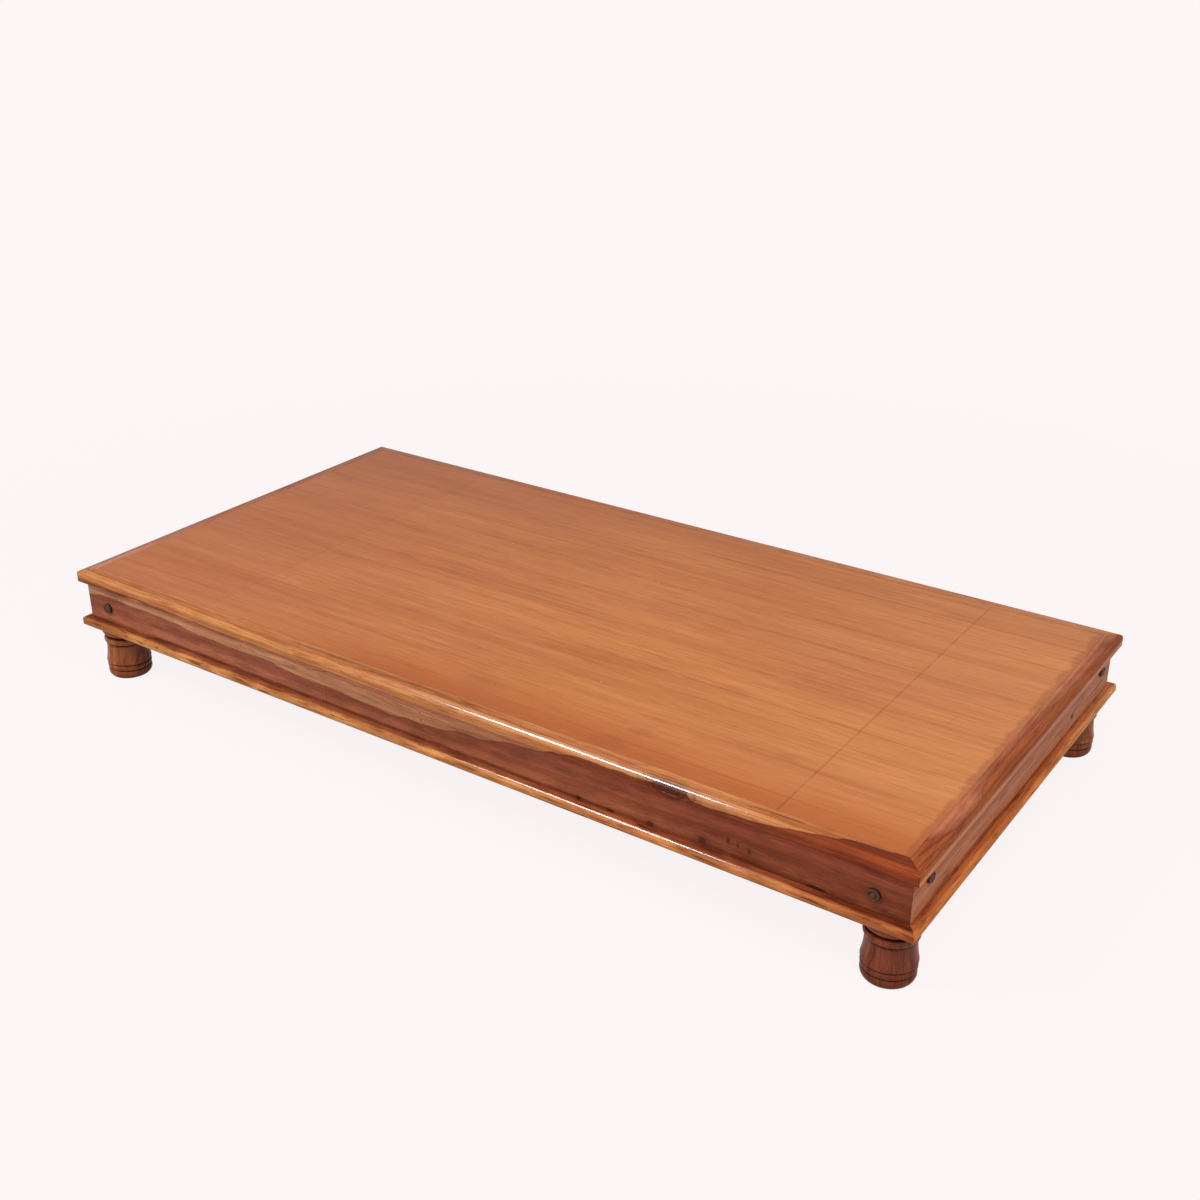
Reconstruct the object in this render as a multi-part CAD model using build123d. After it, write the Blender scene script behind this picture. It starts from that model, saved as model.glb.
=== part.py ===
from build123d import *
import os
from math import hypot

# Low takht platform. Millimetres. X runs along the long side, Y across, Z up.
# The origin is on the floor, under the middle of the deck. Front is -Y and right is +X.

# ---------------------------------------------------------------- sizes
# Top: a deck of veneered board inside a mitred lipping of solid wood
top_length = 1830.0
top_width = 915.0
deck_thickness = 19.0
lipping_face = 30.0  # width of the lipping seen from above
ledge_width = 12.0  # rebated ledge of the lipping, under the edge of the deck
ledge_thickness = 6.0
nose_radius = 12.0  # round along the top outer edge
nose_lower_round = 4.0  # round along the bottom outer edge
lipping_corner = 7.0  # round on the four outer corners, seen from above
left_panel_length = 318.0
right_panel_length = 215.0
panel_joint = 0.3  # gap between panels, and between a panel and the lipping

# Aprons
apron_setback = 14.0  # from the outer face of the lipping
apron_thickness = 20.0
apron_height = 76.5
apron_corner = 1.5

# Base moulding, under the lower edges of the aprons
moulding_projection = 15.5  # from the face of the apron
moulding_thickness = 21.5
moulding_lower_round = 8.0
moulding_flat = 1.0  # upright face left between the lower and the upper round
moulding_corner = 6.5

# Legs: square inside the frame and turned below the moulding
leg_height = 111.0  # the turned part
leg_blank = 92.0  # square stock that the leg is turned from
head_size = 69.0  # side of the square head, after its two outer faces are cut back
shoulder_height = 9.0  # rounded shoulder where the square runs out
# Each cut is a depth below the surface of the blank
foot_cut = 6.5
base_cut = 3.5
base_height = 15.5
base_bulge = 2.3
groove_cut = 5.5
groove_width = 2.0
bead_cut = 4.0
bead_height = 10.5
bead_bulge = 2.0
body_edge_cut = 3.0
body_edge_height = 4.0  # rounded lower edge of the body
body_edge_bulge = 0.5
body_foot_cut = 1.5
body_top_cut = 5.7
body_hollow = 1.3
collar_groove_cut = 7.5
ring_cut = 4.2
ring_height = 11.5
ring_bulge = 2.0
cove_cut = 10.0
cove_slope = 1.5  # height of each sloping wall of the cove
cove_height = 6.5
cap_cut = 4.0
cap_height = 17.5
cap_rim = 7.0  # straight part of the cap, under the moulding
cap_bulge = 1.3

# Cross bearers and the ledgers that carry them
bearer_width = 50.0
bearer_height = 36.0
inner_bearer_count = 2  # between the two bearers under the deck seams
bearer_end_gap = 1.0
bearer_notch_gap = 0.5
ledger_thickness = 22.0
ledger_height = 22.0

# Bolts that hold each leg head to its two aprons
bolt_diameter = 8.0
bolt_hole_gap = 0.5  # on the diameter
bolt_from_apron = 38.5  # bolt axis to the inner face of the apron beside it
long_bolt_height = 30.5  # bolt axis above the lower edge of the apron
bolt_cross_wall = 12.5  # wood between the two holes that cross in a head
bolt_head_diameter = 21.0
bolt_head_height = 5.5
bolt_head_edge = 1.4  # chamfer around the face of the head
bolt_rim_width = 2.0  # flat rim outside the ring groove
bolt_ring_width = 2.2
bolt_ring_depth = 0.9
bolt_point = 1.0  # chamfer at the threaded end
thread_beyond_nut = 3.0
washer_diameter = 22.0
washer_thickness = 1.8
nut_across_flats = 13.0
nut_height = 6.5
nut_room = 4.0  # between a ledger's end and the bolt end beside it

# Wood screws
screw_diameter = 4.0
screw_head_diameter = 8.4
screw_head_height = 2.8
screw_point = 5.0
screw_fit = 0.15  # around a screw in its hole
tip_cover = 6.0  # wood left beyond the tip of a screw
moulding_screw_bite = 24.0
moulding_screw_inset = 150.0  # end screws to the axis of the leg beside them
long_moulding_screw_count = 6
short_moulding_screw_count = 3
deck_screw_inset = 90.0  # outer deck screws to the ledger beside them
deck_screw_count = 3  # in each row across the deck

# ---------------------------------------------------------------- levels and planes
moulding_level = leg_height
apron_level = moulding_level + moulding_thickness
frame_level = apron_level + apron_height
deck_underside = frame_level + ledge_thickness
bearer_level = deck_underside - bearer_height
ledger_level = bearer_level - ledger_height

lipping_thickness = ledge_thickness + deck_thickness
lipping_width = lipping_face + ledge_width
apron_x = top_length / 2 - apron_setback
apron_y = top_width / 2 - apron_setback
inside_x = apron_x - apron_thickness
inside_y = apron_y - apron_thickness
head_x = inside_x - head_size
head_y = inside_y - head_size
leg_x = head_x + leg_blank / 2
leg_y = head_y + leg_blank / 2
ledger_y = inside_y - ledger_thickness / 2

bolt_x = inside_x - bolt_from_apron
bolt_y = inside_y - bolt_from_apron
bolt_hole_diameter = bolt_diameter + bolt_hole_gap
long_bolt_level = apron_level + long_bolt_height
short_bolt_level = long_bolt_level + bolt_hole_diameter + bolt_cross_wall
bolt_grip = apron_thickness + head_size
bolt_tail = washer_thickness + nut_height + thread_beyond_nut

deck_end_x = top_length / 2 - lipping_face
deck_end_y = top_width / 2 - lipping_face
left_seam = left_panel_length - deck_end_x
right_seam = deck_end_x - right_panel_length


# ---------------------------------------------------------------- helpers
def spread(first, last, count):
    """Evenly spaced places from first to last."""
    step = (last - first) / (count - 1)
    return [first + step * i for i in range(count)]


def four_corners(shape):
    """The shape at the front right corner, and its mirror images at the other three."""
    left = mirror(shape, Plane.YZ)
    return {
        "front_right": shape,
        "front_left": left,
        "back_right": mirror(shape, Plane.XZ),
        "back_left": mirror(left, Plane.XZ),
    }


def side_strip(profile, run, span, base, corner):
    """The front strip of a mitred frame, run long and span deep, with its outer corners eased."""
    depth = profile.bounding_box().max.X
    height = profile.bounding_box().max.Y
    section = Plane(origin=(0, -span / 2, base), x_dir=(0, 1, 0), z_dir=(1, 0, 0))
    strip = extrude(section * profile, amount=run / 2, both=True)
    outer = run / 2
    inner = outer - depth
    mitred = Polyline(
        (-outer, -span / 2),
        (outer, -span / 2),
        (inner, depth - span / 2),
        (-inner, depth - span / 2),
        close=True,
    )
    plan = make_face(mitred) & RectangleRounded(run, span, corner)
    return strip & extrude(Pos(0, 0, base) * plan, amount=height)


def mitred_frame(kind, profile, length, width, base, corner):
    """Four mitred strips around a rectangle, as named nodes."""
    long_strip = side_strip(profile, length, width, base, corner)
    short_strip = side_strip(profile, width, length, base, corner)
    return {
        f"front_{kind}": long_strip,
        f"right_{kind}": Rot(0, 0, 90) * short_strip,
        f"back_{kind}": Rot(0, 0, 180) * long_strip,
        f"left_{kind}": Rot(0, 0, -90) * short_strip,
    }


def pin(diameter, length):
    """A plain cylinder that starts on the origin and runs up Z."""
    return Cylinder(diameter / 2, length, align=(Align.CENTER, Align.CENTER, Align.MIN))


def screw(length, gap=0.0):
    """A countersunk wood screw, head down on the origin and point up; a gap makes its hole."""
    shank = screw_diameter / 2 + gap
    head = screw_head_diameter / 2 + gap
    outline = Polyline(
        (0, 0),
        (head, 0),
        (shank, screw_head_height),
        (shank, length - screw_point + gap),
        (0, length + gap),
        close=True,
    )
    return revolve(Plane.XZ * make_face(outline), axis=Axis.Z)


def drill(piece, places, length):
    """The piece with a countersunk hole cut for a screw at each place."""
    hole = screw(length, screw_fit)
    return piece - [place * hole for place in places]


# ---------------------------------------------------------------- top
with BuildSketch() as lipping_section:
    with BuildLine():
        Polyline(
            (nose_radius, lipping_thickness),
            (lipping_face, lipping_thickness),
            (lipping_face, ledge_thickness),
            (lipping_width, ledge_thickness),
            (lipping_width, 0),
            (nose_lower_round, 0),
        )
        RadiusArc((nose_lower_round, 0), (0, nose_lower_round), nose_lower_round)
        Line((0, nose_lower_round), (0, lipping_thickness - nose_radius))
        RadiusArc((0, lipping_thickness - nose_radius), (nose_radius, lipping_thickness), nose_radius)
    make_face()

parts = mitred_frame(
    "lipping", lipping_section.sketch, top_length, top_width, frame_level, lipping_corner
)


def deck_panel(start, end):
    """A deck panel from one x to another, resting on the ledges of the lipping."""
    panel_width = 2 * (deck_end_y - panel_joint)
    blank = Box(end - start, panel_width, deck_thickness, align=(Align.MIN, Align.CENTER, Align.MIN))
    return Pos(start, 0, deck_underside) * blank


half_joint = panel_joint / 2
parts["left_deck_panel"] = deck_panel(panel_joint - deck_end_x, left_seam - half_joint)
parts["middle_deck_panel"] = deck_panel(left_seam + half_joint, right_seam - half_joint)
parts["right_deck_panel"] = deck_panel(right_seam + half_joint, deck_end_x - panel_joint)

# ---------------------------------------------------------------- aprons and base moulding
apron_section = Rectangle(apron_thickness, apron_height, align=(Align.MIN, Align.MIN))
parts |= mitred_frame("apron", apron_section, 2 * apron_x, 2 * apron_y, apron_level, apron_corner)

moulding_depth = apron_thickness + moulding_projection
moulding_upper_round = moulding_thickness - moulding_flat - moulding_lower_round
with BuildSketch() as moulding_section:
    with BuildLine():
        Polyline(
            (moulding_upper_round, moulding_thickness),
            (moulding_depth, moulding_thickness),
            (moulding_depth, 0),
            (moulding_lower_round, 0),
        )
        RadiusArc((moulding_lower_round, 0), (0, moulding_lower_round), moulding_lower_round)
        Line((0, moulding_lower_round), (0, moulding_thickness - moulding_upper_round))
        RadiusArc(
            (0, moulding_thickness - moulding_upper_round),
            (moulding_upper_round, moulding_thickness),
            moulding_upper_round,
        )
    make_face()

parts |= mitred_frame(
    "base_moulding",
    moulding_section.sketch,
    2 * (apron_x + moulding_projection),
    2 * (apron_y + moulding_projection),
    moulding_level,
    moulding_corner,
)

# ---------------------------------------------------------------- bolts, washers and nuts
def bolt():
    """A round-headed bolt up Z, the underside of its head on the origin."""
    head = bolt_head_diameter / 2
    rim = head - bolt_head_edge
    groove_outer = rim - bolt_rim_width
    groove_inner = groove_outer - bolt_ring_width
    groove_floor = bolt_ring_depth - bolt_head_height
    shank = bolt_diameter / 2
    length = bolt_grip + bolt_tail
    outline = Polyline(
        (0, -bolt_head_height),
        (groove_inner - bolt_ring_depth, -bolt_head_height),
        (groove_inner, groove_floor),
        (groove_outer, groove_floor),
        (groove_outer, -bolt_head_height),
        (rim, -bolt_head_height),
        (head, bolt_head_edge - bolt_head_height),
        (head, 0),
        (shank, 0),
        (shank, length - bolt_point),
        (shank - bolt_point, length),
        (0, length),
        close=True,
    )
    return revolve(Plane.XZ * make_face(outline), axis=Axis.Z)


def washer():
    """A washer up Z, its near face on the origin."""
    return pin(washer_diameter, washer_thickness) - pin(bolt_hole_diameter, washer_thickness)


def nut():
    """A hexagon nut up Z, its near face on the origin."""
    outline = RegularPolygon(nut_across_flats / 2, 6, major_radius=False)
    hexagon = extrude(outline, amount=nut_height)
    return hexagon - pin(bolt_hole_diameter, nut_height)


# Both bolts start on the outer face of an apron and point into the front right leg head
long_bolt_place = Pos(bolt_x, -apron_y, long_bolt_level) * Rot(-90, 0, 0)
short_bolt_place = Pos(apron_x, -bolt_y, short_bolt_level) * Rot(0, -90, 0)
washer_place = Pos(0, 0, bolt_grip)
nut_place = Pos(0, 0, bolt_grip + washer_thickness)
bolt_hole = pin(bolt_hole_diameter, bolt_grip)
long_holes = four_corners(long_bolt_place * bolt_hole)
short_holes = four_corners(short_bolt_place * bolt_hole)

parts["long_apron_bolts"] = Compound(list(four_corners(long_bolt_place * bolt()).values()))
parts["short_apron_bolts"] = Compound(list(four_corners(short_bolt_place * bolt()).values()))
washers = []
nuts = []
for place in (long_bolt_place, short_bolt_place):
    washers += four_corners(place * washer_place * washer()).values()
    nuts += four_corners(place * nut_place * nut()).values()
parts["bolt_washers"] = Compound(washers)
parts["bolt_nuts"] = Compound(nuts)

for corner in ("front_right", "front_left", "back_right", "back_left"):
    long_side, short_side = corner.split("_")
    parts[f"{long_side}_apron"] -= long_holes[corner]
    parts[f"{short_side}_apron"] -= short_holes[corner]


# ---------------------------------------------------------------- legs
def turned_leg():
    """The turned part of a leg, from the floor up to the moulding, around Z."""
    half_groove = groove_width / 2
    # depth of cut, rise to it from the station below, bulge of the arc that leads to it
    foot_end = [
        (foot_cut, 0, 0),
        (base_cut, base_height, base_bulge),
        (groove_cut, half_groove, 0),
        (bead_cut, half_groove, 0),
        (bead_cut, bead_height, bead_bulge),
        (groove_cut, half_groove, 0),
        (body_edge_cut, half_groove, 0),
        (body_foot_cut, body_edge_height, body_edge_bulge),
    ]
    collar_end = [
        (collar_groove_cut, half_groove, 0),
        (ring_cut, half_groove, 0),
        (ring_cut, ring_height, ring_bulge),
        (cove_cut, cove_slope, 0),
        (cove_cut, cove_height - 2 * cove_slope, 0),
        (cap_cut, cove_slope, 0),
        (0, cap_height - cap_rim, cap_bulge),
        (0, cap_rim, 0),
    ]
    body_height = leg_height - sum(rise for _, rise, _ in foot_end + collar_end)
    stations = foot_end + [(body_top_cut, body_height, -body_hollow)] + collar_end
    height = 0
    points = []
    for cut, rise, _ in stations:
        height += rise
        points.append((leg_blank / 2 - cut, height))
    with BuildSketch(Plane.XZ) as section:
        with BuildLine():
            Polyline(points[-1], (0, leg_height), (0, 0), points[0])
            for start, end, (_, _, bulge) in zip(points, points[1:], stations[1:]):
                if bulge:
                    SagittaArc(start, end, -bulge)
                else:
                    Line(start, end)
        make_face()
    return revolve(section.sketch, axis=Axis.Z)


def shoulder():
    """The lathe's rounded run-out that trims the corners of the square head, around Z."""
    start = leg_blank / 2
    reach = hypot(start, start)
    with BuildSketch(Plane.XZ) as section:
        with BuildLine():
            Polyline(
                (start, leg_height),
                (0, leg_height),
                (0, frame_level),
                (reach, frame_level),
                (reach, leg_height + shoulder_height),
            )
            RadiusArc((reach, leg_height + shoulder_height), (start, leg_height), reach - start)
        make_face()
    return revolve(section.sketch, axis=Axis.Z)


head_height = frame_level - leg_height
head = Pos(inside_x, -inside_y, leg_height) * Box(
    head_size, head_size, head_height, align=(Align.MAX, Align.MIN, Align.MIN)
)
leg = Pos(leg_x, -leg_y, 0) * turned_leg() + (head & Pos(leg_x, -leg_y, 0) * shoulder())
leg -= [long_holes["front_right"], short_holes["front_right"]]
for corner, shape in four_corners(leg).items():
    parts[f"{corner}_leg"] = shape

# ---------------------------------------------------------------- ledgers and bearers
seam_bearers = {"left_seam_bearer": left_seam, "right_seam_bearer": right_seam}
inner_places = spread(left_seam, right_seam, inner_bearer_count + 2)[1:-1]
bearer_places = seam_bearers | {f"inner_bearer_{i + 1}": x for i, x in enumerate(inner_places)}
bearer_x = sorted(bearer_places.values())

ledger_end = head_x - bolt_tail - nut_room
ledger_blank = Box(
    2 * ledger_end, ledger_thickness, ledger_height, align=(Align.CENTER, Align.CENTER, Align.MIN)
)

bearer_length = 2 * (inside_y - bearer_end_gap)
bearer_blank = Box(
    bearer_width, bearer_length, bearer_height, align=(Align.CENTER, Align.CENTER, Align.MIN)
)
# The lipping's ledge passes over a notch at each end of a bearer
ledge_inner = top_width / 2 - lipping_width
notch = Pos(0, -ledge_inner + bearer_notch_gap, frame_level - bearer_notch_gap) * Box(
    bearer_width, bearer_length, ledge_thickness + bearer_notch_gap, align=(Align.CENTER, Align.MAX, Align.MIN)
)
bearer = Pos(0, 0, bearer_level) * bearer_blank - [notch, mirror(notch, Plane.XZ)]

# ---------------------------------------------------------------- screws
sides = {"front": -1, "back": 1}
# Ledger screws run sideways into the aprons, halfway between the bearers
bay_ends = [-ledger_end, *bearer_x, ledger_end]
bay_middles = [(a + b) / 2 for a, b in zip(bay_ends, bay_ends[1:])]
ledger_screw_length = ledger_thickness + apron_thickness - tip_cover
ledger_screw_y = inside_y - ledger_thickness
ledger_screw_level = ledger_level + ledger_height / 2
ledger_screw_places = {
    side: [
        Pos(x, way * ledger_screw_y, ledger_screw_level) * Rot(-90 * way, 0, 0) for x in bay_middles
    ]
    for side, way in sides.items()
}
# Bearer screws run up through the ledgers
bearer_screw_length = ledger_height + bearer_height - tip_cover
bearer_screw_places = {
    side: [Pos(x, way * ledger_y, ledger_level) for x in bearer_x] for side, way in sides.items()
}
# Deck screws run up through the bearers, one row into each panel that a bearer carries
deck_screw_length = bearer_height + deck_thickness - tip_cover
deck_screw_y = ledger_screw_y - deck_screw_inset
deck_screw_x = inner_places + [
    seam + side * bearer_width / 4 for seam in (left_seam, right_seam) for side in sides.values()
]
deck_screw_places = [
    Pos(x, y, bearer_level)
    for x in deck_screw_x
    for y in spread(-deck_screw_y, deck_screw_y, deck_screw_count)
]
# Moulding screws run up into the lower edges of the aprons
moulding_screw_length = moulding_thickness + moulding_screw_bite
moulding_screw_x = spread(
    moulding_screw_inset - leg_x, leg_x - moulding_screw_inset, long_moulding_screw_count
)
moulding_screw_y = spread(
    moulding_screw_inset - leg_y, leg_y - moulding_screw_inset, short_moulding_screw_count
)
rail_x = apron_x - apron_thickness / 2
rail_y = apron_y - apron_thickness / 2
moulding_screw_places = {
    "front": [Pos(x, -rail_y, moulding_level) for x in moulding_screw_x],
    "back": [Pos(x, rail_y, moulding_level) for x in moulding_screw_x],
    "left": [Pos(-rail_x, y, moulding_level) for y in moulding_screw_y],
    "right": [Pos(rail_x, y, moulding_level) for y in moulding_screw_y],
}

for side, places in moulding_screw_places.items():
    for kind in ("base_moulding", "apron"):
        parts[f"{side}_{kind}"] = drill(parts[f"{side}_{kind}"], places, moulding_screw_length)

for side, way in sides.items():
    ledger = Pos(0, way * ledger_y, ledger_level) * ledger_blank
    ledger = drill(ledger, ledger_screw_places[side], ledger_screw_length)
    parts[f"{side}_ledger"] = drill(ledger, bearer_screw_places[side], bearer_screw_length)
    parts[f"{side}_apron"] = drill(
        parts[f"{side}_apron"], ledger_screw_places[side], ledger_screw_length
    )

all_bearer_screws = sum(bearer_screw_places.values(), [])
for name, x in bearer_places.items():
    drilled = drill(Pos(x, 0, 0) * bearer, all_bearer_screws, bearer_screw_length)
    parts[name] = drill(drilled, deck_screw_places, deck_screw_length)
for name in ("left_deck_panel", "middle_deck_panel", "right_deck_panel"):
    parts[name] = drill(parts[name], deck_screw_places, deck_screw_length)

screw_groups = {
    "ledger_screws": (sum(ledger_screw_places.values(), []), ledger_screw_length),
    "bearer_screws": (all_bearer_screws, bearer_screw_length),
    "deck_screws": (deck_screw_places, deck_screw_length),
    "moulding_screws": (sum(moulding_screw_places.values(), []), moulding_screw_length),
}
for name, (places, length) in screw_groups.items():
    parts[name] = Compound([place * screw(length) for place in places])

# ---------------------------------------------------------------- files
os.makedirs("parts", exist_ok=True)
for name, shape in parts.items():
    export_step(shape, f"parts/{name}.step")
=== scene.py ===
"""The looks of a low wooden takht: its timbers, varnish, steel, light and camera."""
import logging
import math
from collections.abc import Mapping, Sequence
from dataclasses import dataclass, field, replace
from enum import Enum

import bmesh
import bpy
from mathutils import Matrix, Quaternion, Vector


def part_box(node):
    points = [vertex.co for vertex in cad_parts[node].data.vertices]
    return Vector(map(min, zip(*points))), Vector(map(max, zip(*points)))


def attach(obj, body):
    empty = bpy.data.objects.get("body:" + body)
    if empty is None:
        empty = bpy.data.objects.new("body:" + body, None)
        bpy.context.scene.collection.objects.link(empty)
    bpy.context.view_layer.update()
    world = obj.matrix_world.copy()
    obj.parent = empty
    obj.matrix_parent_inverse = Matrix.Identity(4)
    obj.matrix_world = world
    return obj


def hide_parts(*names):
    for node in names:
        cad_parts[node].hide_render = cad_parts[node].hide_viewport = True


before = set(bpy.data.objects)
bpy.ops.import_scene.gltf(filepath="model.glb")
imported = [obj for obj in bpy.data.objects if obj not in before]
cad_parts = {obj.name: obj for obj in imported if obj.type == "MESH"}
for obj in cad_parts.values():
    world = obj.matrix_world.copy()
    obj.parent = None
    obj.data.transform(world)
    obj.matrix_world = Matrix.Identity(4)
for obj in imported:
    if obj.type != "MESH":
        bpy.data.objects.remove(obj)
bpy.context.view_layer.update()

LOG = logging.getLogger("takht")

Colour = tuple[float, float, float, float]
Point = tuple[float, float, float]
Pair = tuple[float, float]
Socket = bpy.types.NodeSocket
Feed = Socket | float | tuple[float, ...]
Inputs = Mapping[str | int, Feed]
Sockets = Mapping[str, Socket]

ORIGIN = (0.0, 0.0, 0.0)


def tone(red: int, green: int, blue: int) -> Colour:
    """Turn a colour as a screen shows it into the linear colour that a shader takes.

    Args:
        red: Red part, 0 to 255.
        green: Green part, 0 to 255.
        blue: Blue part, 0 to 255.

    Returns:
        The linear colour, with an alpha of 1.
    """
    shares = [part / 255 for part in (red, green, blue)]
    return (*((s / 12.92 if s <= 0.04045 else ((s + 0.055) / 1.055) ** 2.4) for s in shares), 1.0)


class Grain(Enum):
    """The way a board's grain runs, as the turn that lays it along X."""

    ALONG_X = ORIGIN
    ALONG_Y = (0.0, 0.0, -math.pi / 2)
    ALONG_Z = (0.0, math.pi / 2, 0.0)


class Wiring:
    """Adds nodes to one node tree and links them."""

    def __init__(self, tree: bpy.types.NodeTree) -> None:
        """Start with an empty tree."""
        self.tree = tree
        tree.nodes.clear()

    def feed(self, socket: Socket, value: Feed) -> None:
        """Link a socket to another, or set its own value.

        Args:
            socket: The input to feed.
            value: An output socket, or a plain value.
        """
        if isinstance(value, bpy.types.NodeSocket):
            self.tree.links.new(value, socket)
        else:
            socket.default_value = value

    def node(self, kind: str, inputs: Inputs | None = None, **settings: object) -> bpy.types.Node:
        """Add a node.

        Args:
            kind: The node's type name.
            inputs: What feeds its inputs, by name or by number.
            settings: Its other properties.

        Returns:
            The new node.
        """
        made = self.tree.nodes.new(kind)
        for name, value in settings.items():
            setattr(made, name, value)
        for key, value in (inputs or {}).items():
            self.feed(made.inputs[key], value)
        return made

    def out(self, kind: str, inputs: Inputs | None = None, **settings: object) -> Socket:
        """Add a node and take its first output."""
        return self.node(kind, inputs, **settings).outputs[0]

    def math(self, operation: str, *values: Feed, clamp: bool = False) -> Socket:
        """Work out a value from one, two or three others."""
        inputs = dict(enumerate(values))
        return self.out("ShaderNodeMath", inputs, operation=operation, use_clamp=clamp)

    def times(self, first: Feed, second: Feed) -> Socket:
        """Multiply two values."""
        return self.math("MULTIPLY", first, second)

    def minus(self, first: Feed, second: Feed) -> Socket:
        """Take the second value from the first."""
        return self.math("SUBTRACT", first, second)

    def vector(self, operation: str, *values: Feed) -> Socket:
        """Work out a vector from one or two others, or their length or product."""
        made = self.node("ShaderNodeVectorMath", dict(enumerate(values)), operation=operation)
        return made.outputs["Value" if operation in ("LENGTH", "DOT_PRODUCT") else 0]

    def scale(self, vector: Feed, share: Feed) -> Socket:
        """Stretch a vector by one number."""
        return self.out("ShaderNodeVectorMath", {0: vector, "Scale": share}, operation="SCALE")

    def split(self, vector: Socket) -> Sequence[Socket]:
        """Take a vector apart into its X, Y and Z."""
        return self.node("ShaderNodeSeparateXYZ", {0: vector}).outputs

    def join(self, *parts: Feed) -> Socket:
        """Put a vector together from its X, Y and Z, where one that is left out is 0."""
        return self.out("ShaderNodeCombineXYZ", dict(enumerate(parts)))

    def step(self, value: Feed, low: Feed, high: Feed) -> Socket:
        """Rise smoothly from 0 to 1 between low and high, or fall if high is the lower one."""
        ends = {"Value": value, "From Min": low, "From Max": high}
        return self.out("ShaderNodeMapRange", ends, interpolation_type="SMOOTHSTEP")

    def spread(self, value: Feed, low: float, high: float) -> Socket:
        """Stretch a value between 0 and 1 over the range from low to high."""
        return self.out("ShaderNodeMapRange", {"Value": value, "To Min": low, "To Max": high})

    def noise(
        self, vector: Feed, detail: float = 2.0, roughness: float = 0.5,
        stretch: Point | None = None,
    ) -> Socket:
        """Sample a noise whose lumps are about one unit across.

        Args:
            vector: Where to sample it.
            detail: How many finer layers it has.
            roughness: How strong each finer layer is.
            stretch: How much the vector is stretched first, if at all.

        Returns:
            The noise, around 0.5.
        """
        if stretch:
            vector = self.vector("MULTIPLY", vector, stretch)
        inputs = {"Vector": vector, "Scale": 1.0, "Detail": detail, "Roughness": roughness}
        return self.out("ShaderNodeTexNoise", inputs)

    def push(self, vector: Feed, stretch: Point, detail: float, reach: Feed) -> Socket:
        """Make a slow random shift.

        Args:
            vector: Where to sample it.
            stretch: How much the vector is stretched first.
            detail: How many finer layers it has.
            reach: How far it goes.

        Returns:
            The shift, as a vector.
        """
        slow = self.vector("MULTIPLY", vector, stretch)
        wave = self.node("ShaderNodeTexNoise", {"Vector": slow, "Scale": 1.0, "Detail": detail})
        return self.scale(self.vector("SUBTRACT", wave.outputs["Color"], (0.5, 0.5, 0.5)), reach)

    def mix(self, share: Feed, first: Feed, second: Feed) -> Socket:
        """Blend two colours, by the share of the second."""
        inputs = {0: share, 6: first, 7: second}
        return self.node("ShaderNodeMix", inputs, data_type="RGBA").outputs[2]

    def tint(self, body: Feed, colour: Feed, mask: Feed, strength: Feed) -> Socket:
        """Lay a colour over another where a mask shows, as far as its strength goes."""
        return self.mix(self.times(mask, strength), body, colour)

    def blend(self, share: Feed, first: Socket, second: Socket) -> Socket:
        """Blend two shaders, by the share of the second."""
        return self.out("ShaderNodeMixShader", {0: share, 1: first, 2: second})

    def shade(self, body: Feed, share: Socket) -> Socket:
        """Darken or brighten a colour by one number."""
        return self.vector("MULTIPLY", body, self.join(share, share, share))

    def profile(self, along: Socket, points: Sequence[Pair]) -> Socket:
        """Follow a smooth line through points.

        Args:
            along: The distance along the line, in the same unit as the points.
            points: Pairs of a distance and the line's value there, in order.

        Returns:
            The line's value at that distance.
        """
        first, last = points[0][0], points[-1][0]
        low, high = (pick(value for _, value in points) for pick in (min, max))
        places = [((at - first) / (last - first), (to - low) / (high - low)) for at, to in points]
        ends = {"Value": along, "From Min": first, "From Max": last}
        made = self.node("ShaderNodeFloatCurve", {"Value": self.out("ShaderNodeMapRange", ends)})
        curve = made.mapping.curves[0]
        curve.points[0].location, curve.points[1].location = places[0], places[-1]
        for place in places[1:-1]:
            curve.points.new(*place)
        made.mapping.update()
        return self.spread(made.outputs[0], low, high)


@dataclass(frozen=True)
class Layer:
    """A stretched noise as a mask, which rises where the noise goes from low to high."""

    stretch: Point
    low: float
    high: float
    detail: float = 2.0
    roughness: float = 0.5

    def mask(self, net: Wiring, vector: Feed) -> Socket:
        """Sample the mask."""
        noise = net.noise(vector, self.detail, self.roughness, self.stretch)
        return net.step(noise, self.low, self.high)


class Effect:
    """A node group that several materials share, built once."""

    name = "Effect"
    inputs: Mapping[str, Feed] = {}

    def __init__(self) -> None:
        """Build the group and its named sockets."""
        self.tree = bpy.data.node_groups.new(self.name, "ShaderNodeTree")
        net = Wiring(self.tree)
        for name, value in self.inputs.items():
            self.socket(name, "INPUT", isinstance(value, tuple)).default_value = value
        results = self.wire(net, net.node("NodeGroupInput").outputs)
        for name in results:
            self.socket(name, "OUTPUT")
        net.node("NodeGroupOutput", results)

    def socket(
        self, name: str, way: str, vector: bool = False
    ) -> bpy.types.NodeTreeInterfaceSocket:
        """Add a named socket, for a vector or for a number."""
        kind = "NodeSocketVector" if vector else "NodeSocketFloat"
        return self.tree.interface.new_socket(name=name, in_out=way, socket_type=kind)

    def wire(self, net: Wiring, entry: Sockets) -> Inputs:
        """Wire the inside of the group.

        Args:
            net: The group's wiring.
            entry: The group's inputs, by name.

        Returns:
            What feeds each output, by name.
        """
        raise NotImplementedError

    def place(self, net: Wiring, **inputs: Feed) -> Sockets:
        """Put the group in a material and feed it, with _ for the spaces in its inputs' names."""
        named = {name.replace("_", " "): value for name, value in inputs.items()}
        return net.node("ShaderNodeGroup", named, node_tree=self.tree).outputs


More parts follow.
